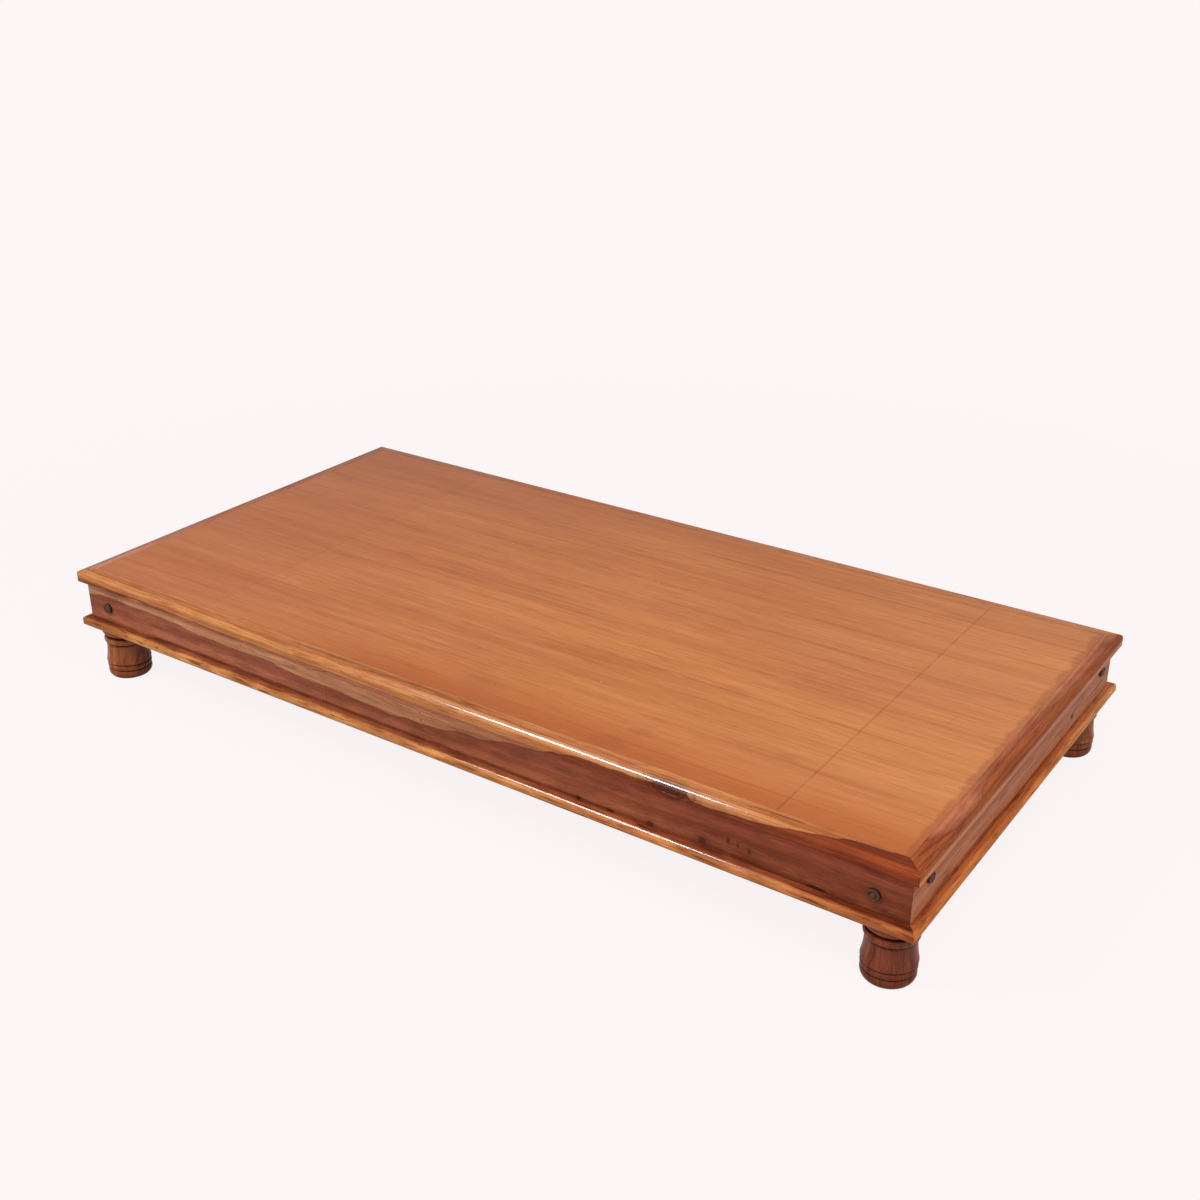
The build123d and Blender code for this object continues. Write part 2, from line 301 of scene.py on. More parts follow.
class WoodFigure(Effect):
    """Growth rings round a pith that runs along X, with fibres and pores."""

    name = "Wood figure"
    inputs = {
        "Vector": ORIGIN, "Pith": ORIGIN, "Wander": 0.01, "Ring Width": 0.01, "Fibre Width": 0.001,
    }
    wander_scale = (1.6, 7.0, 7.0)
    wander_detail = 3.0
    rings = {"Bands": (0.45, 0.3, 0.7), "Lines": (1.7, 0.56, 0.72)}
    ring_detail = 2.0
    fibre_length = 0.05
    fibre_edge = (0.25, 0.75)
    layers = {
        "Streaks": Layer((7.0, 150.0, 150.0), 0.3, 0.7, 4.0, 0.68),
        "Flecks": Layer((15.0, 240.0, 240.0), 0.54, 0.68, 2.0, 0.6),
        "Mottle": Layer((13.0, 42.0, 42.0), 0.3, 0.7, 3.0, 0.6),
        "Pores": Layer((110.0, 1300.0, 1300.0), 0.64, 0.72, 1.0),
    }

    def wire(self, net: Wiring, entry: Sockets) -> Inputs:
        """Wire rings, streaks, fibres and pores.

        Args:
            net: The group's wiring.
            entry: The group's inputs, by name.

        Returns:
            What feeds each output, by name.
        """
        place, width = entry["Vector"], entry["Fibre Width"]
        push = net.push(place, self.wander_scale, self.wander_detail, entry["Wander"])
        bent = net.vector("ADD", place, push)
        masks = {name: layer.mask(net, bent) for name, layer in self.layers.items()}
        away = net.vector("SUBTRACT", bent, entry["Pith"])
        across = net.vector("LENGTH", net.vector("MULTIPLY", away, (0.0, 1.0, 1.0)))
        ring = net.math("DIVIDE", across, entry["Ring Width"])
        for name, (scale, low, high) in self.rings.items():
            inputs = {"W": ring, "Scale": scale, "Detail": self.ring_detail}
            line = net.out("ShaderNodeTexNoise", inputs, noise_dimensions="1D")
            masks[name] = net.step(line, low, high)
        sizes = zip(net.split(bent), (self.fibre_length, width, width))
        thread = net.join(*(net.math("DIVIDE", part, size) for part, size in sizes))
        masks["Fibre"] = net.step(net.noise(thread, 2.0, 0.6), *self.fibre_edge)
        return masks


class Knot(Effect):
    """A knot with a halo of disturbed grain and rings inside it, on a flat chart of a board."""

    name = "Knot"
    inputs = {"Vector": ORIGIN, "Centre": ORIGIN, "Size": (0.01, 0.01, 1.0)}
    ragged = 0.5
    ragged_scale = (1.7, 1.7, 1.7)
    ring_count = 5.0
    ring_range = (0.5, 1.0)
    core_edge = (1.05, 0.6)
    halo_edge = (2.2, 0.8)

    def wire(self, net: Wiring, entry: Sockets) -> Inputs:
        """Wire the knot's masks.

        Args:
            net: The group's wiring.
            entry: The group's inputs, by name.

        Returns:
            What feeds each output, by name.
        """
        away = net.vector("SUBTRACT", entry["Vector"], entry["Centre"])
        unit = net.vector("DIVIDE", away, entry["Size"])
        rough = net.noise(unit, stretch=self.ragged_scale)
        reach = net.math("ADD", net.vector("LENGTH", unit), -self.ragged / 2)
        reach = net.math("MULTIPLY_ADD", rough, self.ragged, reach)
        wave = net.math("SINE", net.times(reach, self.ring_count * math.pi))
        return {
            "Core": net.step(reach, *self.core_edge),
            "Halo": net.step(reach, *self.halo_edge),
            "Rings": net.spread(wave, *self.ring_range),
        }


class StreakLine(Effect):
    """A thin line on a flat chart of a board, which wavers, breaks and fades at both ends."""

    name = "Streak"
    inputs = {"Vector": ORIGIN, "Start": ORIGIN, "End": (1.0, 0.0, 0.0), "Width": 0.002}
    waver = 0.006
    waver_scale = (14.0, 22.0, 1.0)
    waver_detail = 2.0
    fade = 0.16
    breaks = Layer((26.0, 130.0, 1.0), 0.3, 0.5)

    def wire(self, net: Wiring, entry: Sockets) -> Inputs:
        """Wire the line's mask.

        Args:
            net: The group's wiring.
            entry: The group's inputs, by name.

        Returns:
            What feeds each output, by name.
        """
        push = net.push(entry["Vector"], self.waver_scale, self.waver_detail, self.waver)
        place = net.vector("ADD", entry["Vector"], net.vector("MULTIPLY", push, (1, 1, 0)))
        away = net.vector("SUBTRACT", place, entry["Start"])
        run = net.vector("SUBTRACT", entry["End"], entry["Start"])
        gone, whole = (net.vector("DOT_PRODUCT", part, run) for part in (away, run))
        along = net.math("DIVIDE", gone, whole, clamp=True)
        off = net.vector("LENGTH", net.vector("SUBTRACT", away, net.scale(run, along)))
        line = net.step(off, entry["Width"], 0.0)
        ends = net.times(net.step(along, 0.0, self.fade), net.step(along, 1.0, 1.0 - self.fade))
        return {"Mask": net.times(net.times(line, ends), self.breaks.mask(net, entry["Vector"]))}


class HeartEdge(Effect):
    """The border between dark heartwood and pale sapwood, with the dark line along it."""

    name = "Heartwood edge"
    inputs = {"Vector": ORIGIN, "Depth": 0.0, "Softness": 0.0014, "Line Width": 0.0026}
    ragged = 0.011
    ragged_scale = (20.0, 70.0, 1.0)
    near_depth = 0.024

    def wire(self, net: Wiring, entry: Sockets) -> Inputs:
        """Wire the heartwood mask, its line and what lies close inside it.

        Args:
            net: The group's wiring.
            entry: The group's inputs, by name.

        Returns:
            What feeds each output, by name.
        """
        wave = net.noise(entry["Vector"], 3.0, stretch=self.ragged_scale)
        depth = net.math("MULTIPLY_ADD", net.minus(wave, 0.5), self.ragged, entry["Depth"])
        heart = net.step(depth, net.times(entry["Softness"], -1.0), entry["Softness"])
        return {
            "Heart": heart,
            "Line": net.times(heart, net.step(depth, entry["Line Width"], 0.0)),
            "Near": net.times(heart, net.step(depth, self.near_depth, 0.0)),
        }


class MitreLine(Effect):
    """The fine dark line where two mitred boards meet."""

    name = "Mitre line"
    inputs = {"Vector": ORIGIN, "Difference": 0.45, "Width": 0.0009}

    def wire(self, net: Wiring, entry: Sockets) -> Inputs:
        """Wire the mask; the difference is what a mitre's |X| is longer than its |Y|.

        Args:
            net: The group's wiring.
            entry: The group's inputs, by name.

        Returns:
            What feeds each output, by name.
        """
        x, y, _ = net.split(entry["Vector"])
        more = net.minus(net.math("ABSOLUTE", x), net.math("ABSOLUTE", y))
        off = net.math("ABSOLUTE", net.minus(more, entry["Difference"]))
        return {"Mask": net.step(off, entry["Width"], 0.0)}


class Tarnish(Effect):
    """Cloudy patches and fine scratches on metal."""

    name = "Tarnish"
    inputs = {"Vector": ORIGIN, "Scale": 300.0}
    patch_edge = (0.35, 0.65)
    scratches = Layer((6.0, 0.7, 1.4), 0.6, 0.75, 3.0, 0.7)

    def wire(self, net: Wiring, entry: Sockets) -> Inputs:
        """Wire the patches and the scratches.

        Args:
            net: The group's wiring.
            entry: The group's inputs, by name.

        Returns:
            What feeds each output, by name.
        """
        place = net.scale(entry["Vector"], entry["Scale"])
        patches = net.step(net.noise(place, 4.0, 0.6), *self.patch_edge)
        return {"Patches": patches, "Scratches": self.scratches.mask(net, place)}


class EdgeWear(Effect):
    """Rubbed arrises, where the varnish has thinned."""

    name = "Edge wear"
    inputs = {"Radius": 0.002, "Patchiness": 25.0}
    turn_edge = (0.995, 0.85)
    patch_edge = (0.38, 0.62)

    def wire(self, net: Wiring, entry: Sockets) -> Inputs:
        """Wire the mask from the turn of the surface near an edge.

        Args:
            net: The group's wiring.
            entry: The group's inputs, by name.

        Returns:
            What feeds each output, by name.
        """
        eased = net.out("ShaderNodeBevel", {"Radius": entry["Radius"]}, samples=6)
        normal = net.node("ShaderNodeNewGeometry").outputs["Normal"]
        edge = net.step(net.vector("DOT_PRODUCT", eased, normal), *self.turn_edge)
        place = net.node("ShaderNodeTexCoord").outputs["Object"]
        patches = net.noise(net.scale(place, entry["Patchiness"]), 4.0, 0.65)
        return {"Mask": net.times(edge, net.step(patches, *self.patch_edge))}


class CornerGrimeAndShade(Effect):
    """Darkening in corners and grooves: polish and dust gathered there, and painted shade where
    less light reaches.
    """

    name = "Corner grime and shade"
    inputs = {"Reach": 0.01}
    edge = (0.75, 0.25)

    def wire(self, net: Wiring, entry: Sockets) -> Inputs:
        """Wire the mask from how closed in a point is."""
        closed = net.node("ShaderNodeAmbientOcclusion", {"Distance": entry["Reach"]}, samples=8)
        return {"Mask": net.step(closed.outputs["AO"], *self.edge)}


class VarnishSurface(Effect):
    """Brush marks and slow ripples in a coat of varnish."""

    name = "Varnish surface"
    inputs = {"Vector": ORIGIN, "Gloss": 0.2, "Variation": 0.1}
    ripple_scale = (14.0, 60.0, 60.0)
    smear_scale = (3.0, 11.0, 11.0)

    def wire(self, net: Wiring, entry: Sockets) -> Inputs:
        """Wire the gloss and the ripples.

        Args:
            net: The group's wiring.
            entry: The group's inputs, by name.

        Returns:
            What feeds each output, by name.
        """
        smear = net.noise(entry["Vector"], 4.0, 0.6, self.smear_scale)
        change = net.times(net.minus(smear, 0.5), entry["Variation"])
        ripple = net.noise(entry["Vector"], stretch=self.ripple_scale)
        return {"Roughness": net.math("ADD", entry["Gloss"], change), "Height": ripple}


@dataclass
class Effects:
    """Every shared node group, built once."""

    figure: WoodFigure = field(default_factory=WoodFigure)
    knot: Knot = field(default_factory=Knot)
    streak: StreakLine = field(default_factory=StreakLine)
    heart_edge: HeartEdge = field(default_factory=HeartEdge)
    mitre: MitreLine = field(default_factory=MitreLine)
    wear: EdgeWear = field(default_factory=EdgeWear)
    grime_and_shade: CornerGrimeAndShade = field(default_factory=CornerGrimeAndShade)
    varnish: VarnishSurface = field(default_factory=VarnishSurface)
    tarnish: Tarnish = field(default_factory=Tarnish)


KNOT_CORE = tone(52, 26, 18)
# The colour of grime and dark joints, and of the painted shade in corners.
GRIME_AND_SHADE = tone(70, 26, 12)
# Pale marks: scuffs and specks, and a painted glint at the foot of the lipping's knot.
SCUFF_AND_GLINT = tone(236, 200, 160)
WHITE = (1.0, 1.0, 1.0, 1.0)


@dataclass(frozen=True)
class KnotMark:
    """One knot, hole or smudge on a board's chart, in metres."""

    centre: Pair
    size: Pair
    core: float = 0.85
    halo: float = 0.45


@dataclass(frozen=True)
class Streak:
    """One line on a board's chart: its ends, its width and its strength, in metres."""

    start: Pair
    end: Pair
    width: float
    share: float
    pale: bool = False


@dataclass(frozen=True)
class Drift:
    """A slow change of a board's colour, from where it starts to where it is full, in metres."""

    start: float
    full: float
    change: Point
    across: bool = False


class Paint(Wiring):
    """A material that is being made, with its shader and its coordinates."""

    def __init__(self, name: str, effects: Effects) -> None:
        """Make the material with an empty shader.

        Args:
            name: The material's name.
            effects: The shared node groups.
        """
        self.effects = effects
        self.material = bpy.data.materials.new(name)
        self.material.use_nodes = True
        super().__init__(self.material.node_tree)
        self.shader = self.node("ShaderNodeBsdfPrincipled")
        self.node("ShaderNodeOutputMaterial", {"Surface": self.shader.outputs[0]})
        self.place = self.node("ShaderNodeTexCoord").outputs["Object"]

    def set(self, **inputs: Feed) -> None:
        """Set or link sockets of the shader, with _ for the spaces in their names."""
        for name, value in inputs.items():
            self.feed(self.shader.inputs[name.replace("_", " ")], value)

    def grained(self, grain: Grain) -> Socket:
        """Turn the coordinates so that the grain lies along X."""
        return self.out("ShaderNodeMapping", {"Vector": self.place, "Rotation": grain.value})

    def bump(self, height: Socket, distance: float) -> None:
        """Raise the surface by a height map, of which 1 stands out by a distance in metres."""
        self.set(Normal=self.out("ShaderNodeBump", {"Height": height, "Distance": distance}))

    def knotted(
        self, chart: Socket, body: Socket, marks: Sequence[KnotMark], halo: Colour,
        core: Colour = KNOT_CORE,
    ) -> Socket:
        """Add knots to a wood's colour.

        Args:
            chart: The board's flat chart.
            body: The wood's colour.
            marks: The knots.
            halo: The colour round a knot.
            core: The colour of a knot.

        Returns:
            The colour.
        """
        for mark in marks:
            centre, size = (*mark.centre, 0.0), (*mark.size, 1.0)
            masks = self.effects.knot.place(self, Vector=chart, Centre=centre, Size=size)
            if mark.halo:
                ringed = self.times(masks["Halo"], masks["Rings"])
                body = self.tint(body, halo, ringed, mark.halo)
            if mark.core:
                body = self.tint(body, core, masks["Core"], mark.core)
        return body

    def streaked(
        self, chart: Socket, body: Socket, streaks: Sequence[Streak], dark: Colour
    ) -> Socket:
        """Draw single lines on a wood's colour.

        Args:
            chart: The board's flat chart.
            body: The wood's colour.
            streaks: The lines.
            dark: The colour of a line that isn't pale.

        Returns:
            The colour.
        """
        for streak in streaks:
            ends = {"Start": (*streak.start, 0.0), "End": (*streak.end, 0.0)}
            masks = self.effects.streak.place(self, Vector=chart, Width=streak.width, **ends)
            body = self.tint(body, SCUFF_AND_GLINT if streak.pale else dark, masks["Mask"], streak.share)
        return body


@dataclass(frozen=True)
class Shine:
    """How a varnish shines, and how much thicker it lies where an edge is rounded."""

    ior: float
    roughness: float
    coat: float
    variation: float = 0.12
    coat_roughness: float = 0.08
    coat_ior: float = 1.5
    rounded: Pair | None = None
    round_blur: float = 0.001
    round_coat: float = 1.0
    round_start: Pair = (-0.22, 0.25)
    round_end: Pair = (0.70, 0.54)
    fibre_height: float = 0.3
    pore_height: float = -0.6

    def lay(
        self, paint: Paint, vector: Socket, figure: Sockets, depth: float, chart: Feed = 0.0
    ) -> None:
        """Varnish a wood.

        Args:
            paint: The material that is being made.
            vector: Coordinates with the grain along X.
            figure: The wood figure's masks.
            depth: How deep the fibres and brush marks are, in metres.
            chart: The board's flat chart.
        """
        coat: Feed = self.coat
        if self.rounded:
            along, across, _ = paint.split(chart)
            (first, last), blur = self.rounded, self.round_blur
            up, down = (first - blur, first + blur), (last + blur, last - blur)
            on_round = paint.times(paint.step(across, *up), paint.step(across, *down))
            for ends in (self.round_start, self.round_end):
                on_round = paint.times(on_round, paint.step(along, *ends))
            coat = paint.spread(on_round, self.coat, self.round_coat)
        surface = paint.effects.varnish.place(
            paint, Vector=vector, Gloss=self.roughness, Variation=self.variation
        )
        relief = surface["Height"]
        for mark, height in (("Fibre", self.fibre_height), ("Pores", self.pore_height)):
            relief = paint.math("MULTIPLY_ADD", figure[mark], height, relief)
        paint.set(
            Roughness=surface["Roughness"], IOR=self.ior, Coat_Weight=coat,
            Coat_Roughness=self.coat_roughness, Coat_IOR=self.coat_ior,
        )
        paint.bump(relief, depth)


@dataclass(frozen=True)
class Timber:
    """The colours of one kind of wood, and how strongly its figure shows."""

    dark: Colour
    light: Colour
    line: Colour
    line_share: float = 0.3
    streak_share: float = 0.5
    mottled: float = 0.2
    flecked: float = 0.4
    fibre: Pair = (0.84, 1.12)
    pores: float = 0.3

    def colour(self, net: Wiring, figure: Sockets) -> Socket:
        """Colour the wood by its rings, streaks, fibres and pores."""
        bands = net.times(figure["Bands"], 1.0 - self.streak_share)
        share = net.math("MULTIPLY_ADD", figure["Streaks"], self.streak_share, bands)
        return self.figured(net, share, figure)

    def figured(self, net: Wiring, share: Socket, figure: Sockets) -> Socket:
        """Colour the wood by the share of its light tone, and draw its figure.

        Args:
            net: The material's wiring.
            share: The share of the light tone.
            figure: The figure's masks.

        Returns:
            The colour.
        """
        body = net.mix(share, self.dark, self.light)
        marks = {"Lines": self.line_share, "Mottle": self.mottled, "Flecks": self.flecked}
        for mark, strength in marks.items():
            body = net.tint(body, self.line, figure[mark], strength)
        body = net.shade(body, net.spread(figure["Fibre"], *self.fibre))
        return net.tint(body, self.line, figure["Pores"], self.pores)


@dataclass(frozen=True, kw_only=True)
class WoodLook:
    """A piece of wood: its timber, how it grew round its pith, its knots and its relief."""

    timber: Timber
    pith: Point
    wander: float = 0.02
    ring_width: float = 0.010
    fibre_width: float = 0.0011
    relief: float = 0.00022
    knots: tuple[KnotMark, ...] = ()

    def figure(self, paint: Paint, vector: Socket) -> Sockets:
        """Place the wood's figure.

        Args:
            paint: The material that is being made.
            vector: Coordinates with the grain along X.

        Returns:
            The figure's masks, by name.
        """
        return paint.effects.figure.place(
            paint, Vector=vector, Pith=self.pith, Wander=self.wander, Ring_Width=self.ring_width,
            Fibre_Width=self.fibre_width,
        )


@dataclass(frozen=True, kw_only=True)
class BoardLook(WoodLook):
    """What one board shows: its heartwood edge, its lines, its varnish, its wear, and grime with
    painted shade in its corners.
    """

    shine: Shine
    sapwood: Timber | None = None
    border: tuple[Pair, ...] = ()
    heart_below: bool = True
    line_share: float = 0.8
    near_share: float = 0.35
    streaks: tuple[Streak, ...] = ()
    drifts: tuple[Drift, ...] = ()
    seam_share: float = 0.55
    worn: float = 0.3
    worn_radius: float = 0.0018
    # How strongly and how far out corners and grooves are darkened: grime, and painted shade.
    grimy_and_shaded: float = 0.6
    grime_and_shade_reach: float = 0.009

    def bordered(self, paint: Paint, chart: Socket, figure: Sockets, heart: Socket) -> Socket:
        """Lay the sapwood beside the heartwood.

        Args:
            paint: The material that is being made.
            chart: The board's flat chart.
            figure: The figure's masks.
            heart: The heartwood's colour.

        Returns:
            The colour.
        """
        line = self.timber.line
        along, across, _ = paint.split(chart)
        edge = paint.profile(along, self.border)
        depth = paint.minus(edge, across) if self.heart_below else paint.minus(across, edge)
        masks = paint.effects.heart_edge.place(paint, Vector=chart, Depth=depth)
        heart = paint.tint(heart, line, masks["Near"], self.near_share)
        body = paint.mix(masks["Heart"], self.sapwood.colour(paint, figure), heart)
        return paint.tint(body, line, masks["Line"], self.line_share)

    def material(
        self, paint: Paint, grain: Grain, chart: Socket, mitre: float = 0.0
    ) -> bpy.types.Material:
        """Make the board's material.

        Args:
            paint: The material that is being made.
            grain: The way the grain runs.
            chart: The board's flat chart.
            mitre: How much longer |X| is than |Y| on the mitres, in metres.

        Returns:
            The material.
        """
        effects, line = paint.effects, self.timber.line
        vector = paint.grained(grain)
        figure = self.figure(paint, vector)
        body = self.timber.colour(paint, figure)
        if self.border:
            body = self.bordered(paint, chart, figure, body)
        along, across, _ = paint.split(chart)
        for drift in self.drifts:
            here = paint.step(across if drift.across else along, drift.start, drift.full)
            body = paint.vector("MULTIPLY", body, paint.mix(here, WHITE, (*drift.change, 1.0)))
        body = paint.streaked(chart, body, self.streaks, line)
        body = paint.knotted(chart, body, self.knots, line)
        if mitre:
            seam = effects.mitre.place(paint, Vector=paint.place, Difference=mitre)["Mask"]
            body = paint.tint(body, GRIME_AND_SHADE, seam, self.seam_share)
        worn = effects.wear.place(paint, Radius=self.worn_radius)["Mask"]
        body = paint.tint(body, self.timber.light, worn, self.worn)
        # Painted shade: corners and grooves darken towards the grime colour, partly for polish and
        # dust, partly for the shade there.
        grimy_and_shaded = effects.grime_and_shade.place(paint, Reach=self.grime_and_shade_reach)["Mask"]
        paint.set(Base_Color=paint.tint(body, GRIME_AND_SHADE, grimy_and_shaded, self.grimy_and_shaded))
        self.shine.lay(paint, vector, figure, self.relief, chart)
        return paint.material


@dataclass(frozen=True)
class Wash:
    """A tint of the deck: its colour and strength, and where it comes in along X and along Y."""

    colour: Colour
    strength: float
    along: Pair
    across: Pair | None = None


@dataclass(frozen=True, kw_only=True)
class VeneerLook(WoodLook):
    """Slip-matched veneer leaves under a thin satin varnish, with the grain along X."""

    timber: Timber = Timber(
        tone(172, 97, 50), tone(206, 132, 75), tone(136, 64, 34), line_share=0.08, mottled=0.42,
        flecked=0.14, fibre=(0.86, 1.12), pores=0.22,
    )
    pith: Point = (0.0, 0.9, 2.4)
    wander: float = 0.016
    ring_width: float = 0.009
    fibre_width: float = 0.0012
    relief: float = 0.00012
    shine: Shine = Shine(ior=1.19, roughness=0.4, variation=0.14, coat=0.0)
    layers: tuple[tuple[Layer, float], ...] = (
        (Layer((2.2, 36.0, 36.0), 0.28, 0.72, 4.0, 0.56), 0.30),
        (Layer((1.3, 13.0, 13.0), 0.25, 0.75, 1.0), 0.36),
        (Layer((5.0, 105.0, 105.0), 0.28, 0.72, 4.0, 0.68), 0.34),
    )
    thread: Layer = Layer((4.5, 240.0, 240.0), 0.58, 0.72, 2.0, 0.6)
    leaf_width: float = 0.242
    leaf_joint: float = 0.2235
    leaf_change: float = 0.035
    red: Colour = tone(158, 84, 56)
    panel_share: float = 0.1
    # Painted shade: the deck darkens and reddens towards its left end, where less light falls.
    left_share: float = 0.3
    left_edge: Pair = (0.1, -0.9)
    washes: tuple[Wash, ...] = (
        # Painted shade: darker and redder towards the back-left corner.
        Wash(tone(158, 84, 56), 0.3, (0.35, -0.35), (0.15, 0.42)),
        # Painted light and sheen: lighter towards the right end.
        Wash(tone(222, 156, 110), 0.16, (0.2, 0.9)),
        Wash(tone(162, 78, 32), 0.66, (-0.7, 0.0), (-0.30, -0.42)),
    )
    stain: Colour = tone(142, 70, 42)
    stain_scale: float = 24.0
    stain_ragged: float = 0.03
    stain_edge: Pair = (0.884, 0.893)
    stain_share: float = 0.45
    filler: Colour = tone(104, 52, 26)
    filler_scale: float = 26.0
    filler_edge: Pair = (0.38, 0.6)
    filler_range: Pair = (0.35, 1.2)
    seam_widths: Pair = (0.0012, 0.0036)
    seam_shares: Pair = (0.08, 0.17)
    streaks: tuple[Streak, ...] = (
        Streak((-0.90, 0.199), (-0.30, 0.180), 0.0016, 0.55),
        Streak((-0.40, 0.181), (0.12, 0.177), 0.0014, 0.6),
        Streak((-0.88, 0.001), (-0.35, 0.002), 0.0013, 0.4),
        Streak((-0.30, 0.002), (0.14, 0.001), 0.0015, 0.6),
        Streak((0.02, 0.130), (0.95, 0.126), 0.0060, 0.35),
        Streak((0.28, 0.040), (0.95, 0.034), 0.0080, 0.28),
        Streak((0.30, 0.222), (0.95, 0.220), 0.0060, 0.22),
        Streak((-0.95, 0.102), (-0.55, 0.098), 0.0070, 0.3),
        Streak((-0.60, 0.066), (0.22, 0.060), 0.0080, 0.22),
        Streak((0.42, 0.178), (0.95, 0.176), 0.0030, 0.3),
    )
    knots: tuple[KnotMark, ...] = (
        KnotMark((0.060, -0.367), (0.030, 0.016), 0.0, 0.3),
        KnotMark((0.379, -0.349), (0.014, 0.008), 0.0, 0.3),
        KnotMark((0.347, -0.405), (0.022, 0.012), 0.0, 0.36),
        KnotMark((0.435, -0.142), (0.020, 0.010), 0.0, 0.24),
        KnotMark((-0.415, -0.017), (0.022, 0.012), 0.0, 0.2),
        KnotMark((-0.680, 0.160), (0.028, 0.014), 0.0, 0.18),
        KnotMark((0.610, -0.285), (0.012, 0.007), 0.0, 0.22),
    )
    scratches: tuple[Streak, ...] = (
        Streak((0.779, -0.040), (0.782, -0.008), 0.0012, 0.7),
        Streak((0.839, -0.222), (0.856, -0.214), 0.0012, 0.6),
        Streak((0.842, 0.252), (0.852, 0.262), 0.0012, 0.5),
        Streak((0.212, -0.022), (0.221, -0.018), 0.0012, 0.5),
        Streak((0.207, -0.170), (0.207, 0.390), 0.0016, 0.16),
        Streak((-0.273, 0.151), (-0.269, 0.151), 0.0016, 0.8, True),
        Streak((0.083, 0.160), (0.087, 0.160), 0.0016, 0.7, True),
        Streak((-0.838, -0.086), (-0.834, -0.086), 0.0016, 0.7, True),
        Streak((-0.652, -0.426), (-0.646, -0.432), 0.0020, 0.9, True),
        Streak((0.223, -0.245), (0.227, -0.245), 0.0016, 0.7, True),
    )

    def material(self, effects: Effects, seams: Pair) -> bpy.types.Material:
        """Make the deck's material.

        Args:
            effects: The shared node groups.
            seams: Where the deck's two seams cross it, as places along X.

        Returns:
            The material.
        """
        paint, line = Paint("deck_veneer", effects), self.timber.line
        x, y, _ = paint.split(paint.place)
        count = paint.math("DIVIDE", paint.minus(self.leaf_joint, y), self.leaf_width)
        within = paint.times(paint.math("FRACT", count), self.leaf_width)
        vector = paint.join(x, within, paint.times(paint.math("FLOOR", count), self.leaf_change))
        figure = self.figure(paint, vector)
        body = self.veneer(paint, vector, figure)
        body = paint.streaked(paint.join(x, within), body, self.streaks, line)
        body = self.toned(paint, x, y, seams[0], body)
        chart = paint.join(x, y)
        ragged = paint.noise(paint.scale(chart, self.stain_scale), 3.0, 0.6)
        reach = paint.math("MULTIPLY_ADD", ragged, self.stain_ragged, x)
        body = paint.tint(body, self.stain, paint.step(reach, *self.stain_edge), self.stain_share)
        body = paint.knotted(chart, body, self.knots, line)
        body = paint.streaked(chart, body, self.scratches, line)
        patches = paint.noise(paint.scale(chart, self.filler_scale), 3.0, 0.6)
        broken = paint.step(patches, *self.filler_edge)
        for seam, width, share in zip(seams, self.seam_widths, self.seam_shares):
            away = paint.math("ABSOLUTE", paint.minus(x, seam))
            strength = paint.spread(broken, *(share * part for part in self.filler_range))
            body = paint.tint(body, self.filler, paint.step(away, width, width / 4), strength)
        paint.set(Base_Color=body)
        self.shine.lay(paint, vector, figure, self.relief)
        return paint.material

    def veneer(self, net: Wiring, vector: Socket, figure: Sockets) -> Socket:
        """Colour one leaf.

        Args:
            net: The material's wiring.
            vector: Coordinates within a leaf.
            figure: The figure's masks.

        Returns:
            The colour.
        """
        share: Feed = 0.0
        for layer, weight in self.layers:
            share = net.math("MULTIPLY_ADD", layer.mask(net, vector), weight, share)
        masks = dict(figure.items()) | {"Mottle": self.thread.mask(net, vector)}
        return self.timber.figured(net, share, masks)

    def toned(self, net: Wiring, x: Socket, y: Socket, seam: float, body: Socket) -> Socket:
        """Redden the left panel, darken towards the left end as painted shade, and lay the washes,
        of which the first two are painted shade and light.

        Args:
            net: The material's wiring.
            x: The place along the deck.
            y: The place across the deck.
            seam: Where the left seam is.
            body: The veneer's colour.

        Returns:
            The colour.
        """
        panel = net.times(net.math("LESS_THAN", x, seam), self.panel_share)
        # Painted shade: darker and redder towards the left end.
        left = net.times(net.step(x, *self.left_edge), self.left_share)
        body = net.mix(net.math("ADD", panel, left), body, self.red)
        for wash in self.washes:
            mask = net.step(x, *wash.along)
            if wash.across:
                mask = net.times(net.step(y, *wash.across), mask)
            body = net.tint(body, wash.colour, mask, wash.strength)
        return body


@dataclass(frozen=True, kw_only=True)
class SoftwoodLook(WoodLook):
    """Bare sawn softwood, with saw marks across the grain."""

    timber: Timber = Timber(tone(178, 130, 78), tone(206, 166, 112), tone(140, 92, 52), 0.45, 0.35)
    wander: float = 0.012
    ring_width: float = 0.006
    fibre_width: float = 0.0014
    relief: float = 0.0004
    knot: Colour = tone(104, 58, 32)
    dust_reach: float = 0.02
    dust_share: float = 0.4
    saw_scale: Point = (330.0, 14.0, 14.0)
    fibre_height: float = 0.7
    roughness: Pair = (0.7, 0.85)
    specular: float = 0.3

    def material(self, paint: Paint, grain: Grain) -> bpy.types.Material:
        """Make the material of a batten.

        Args:
            paint: The material that is being made.
            grain: The way the grain runs.

        Returns:
            The material.
        """
        line, vector = self.timber.line, paint.grained(grain)
        figure = self.figure(paint, vector)
        along, across, _ = paint.split(vector)
        body = self.timber.colour(paint, figure)
        body = paint.knotted(paint.join(along, across), body, self.knots, line, self.knot)
        dusty = paint.effects.grime_and_shade.place(paint, Reach=self.dust_reach)["Mask"]
        paint.set(
            Base_Color=paint.tint(body, line, dusty, self.dust_share),
            Roughness=paint.spread(figure["Bands"], *self.roughness),
            Specular_IOR_Level=self.specular,
        )
        saw = paint.noise(vector, stretch=self.saw_scale)
        relief = paint.math("MULTIPLY_ADD", figure["Fibre"], self.fibre_height, saw)
        paint.bump(relief, self.relief)
        return paint.material


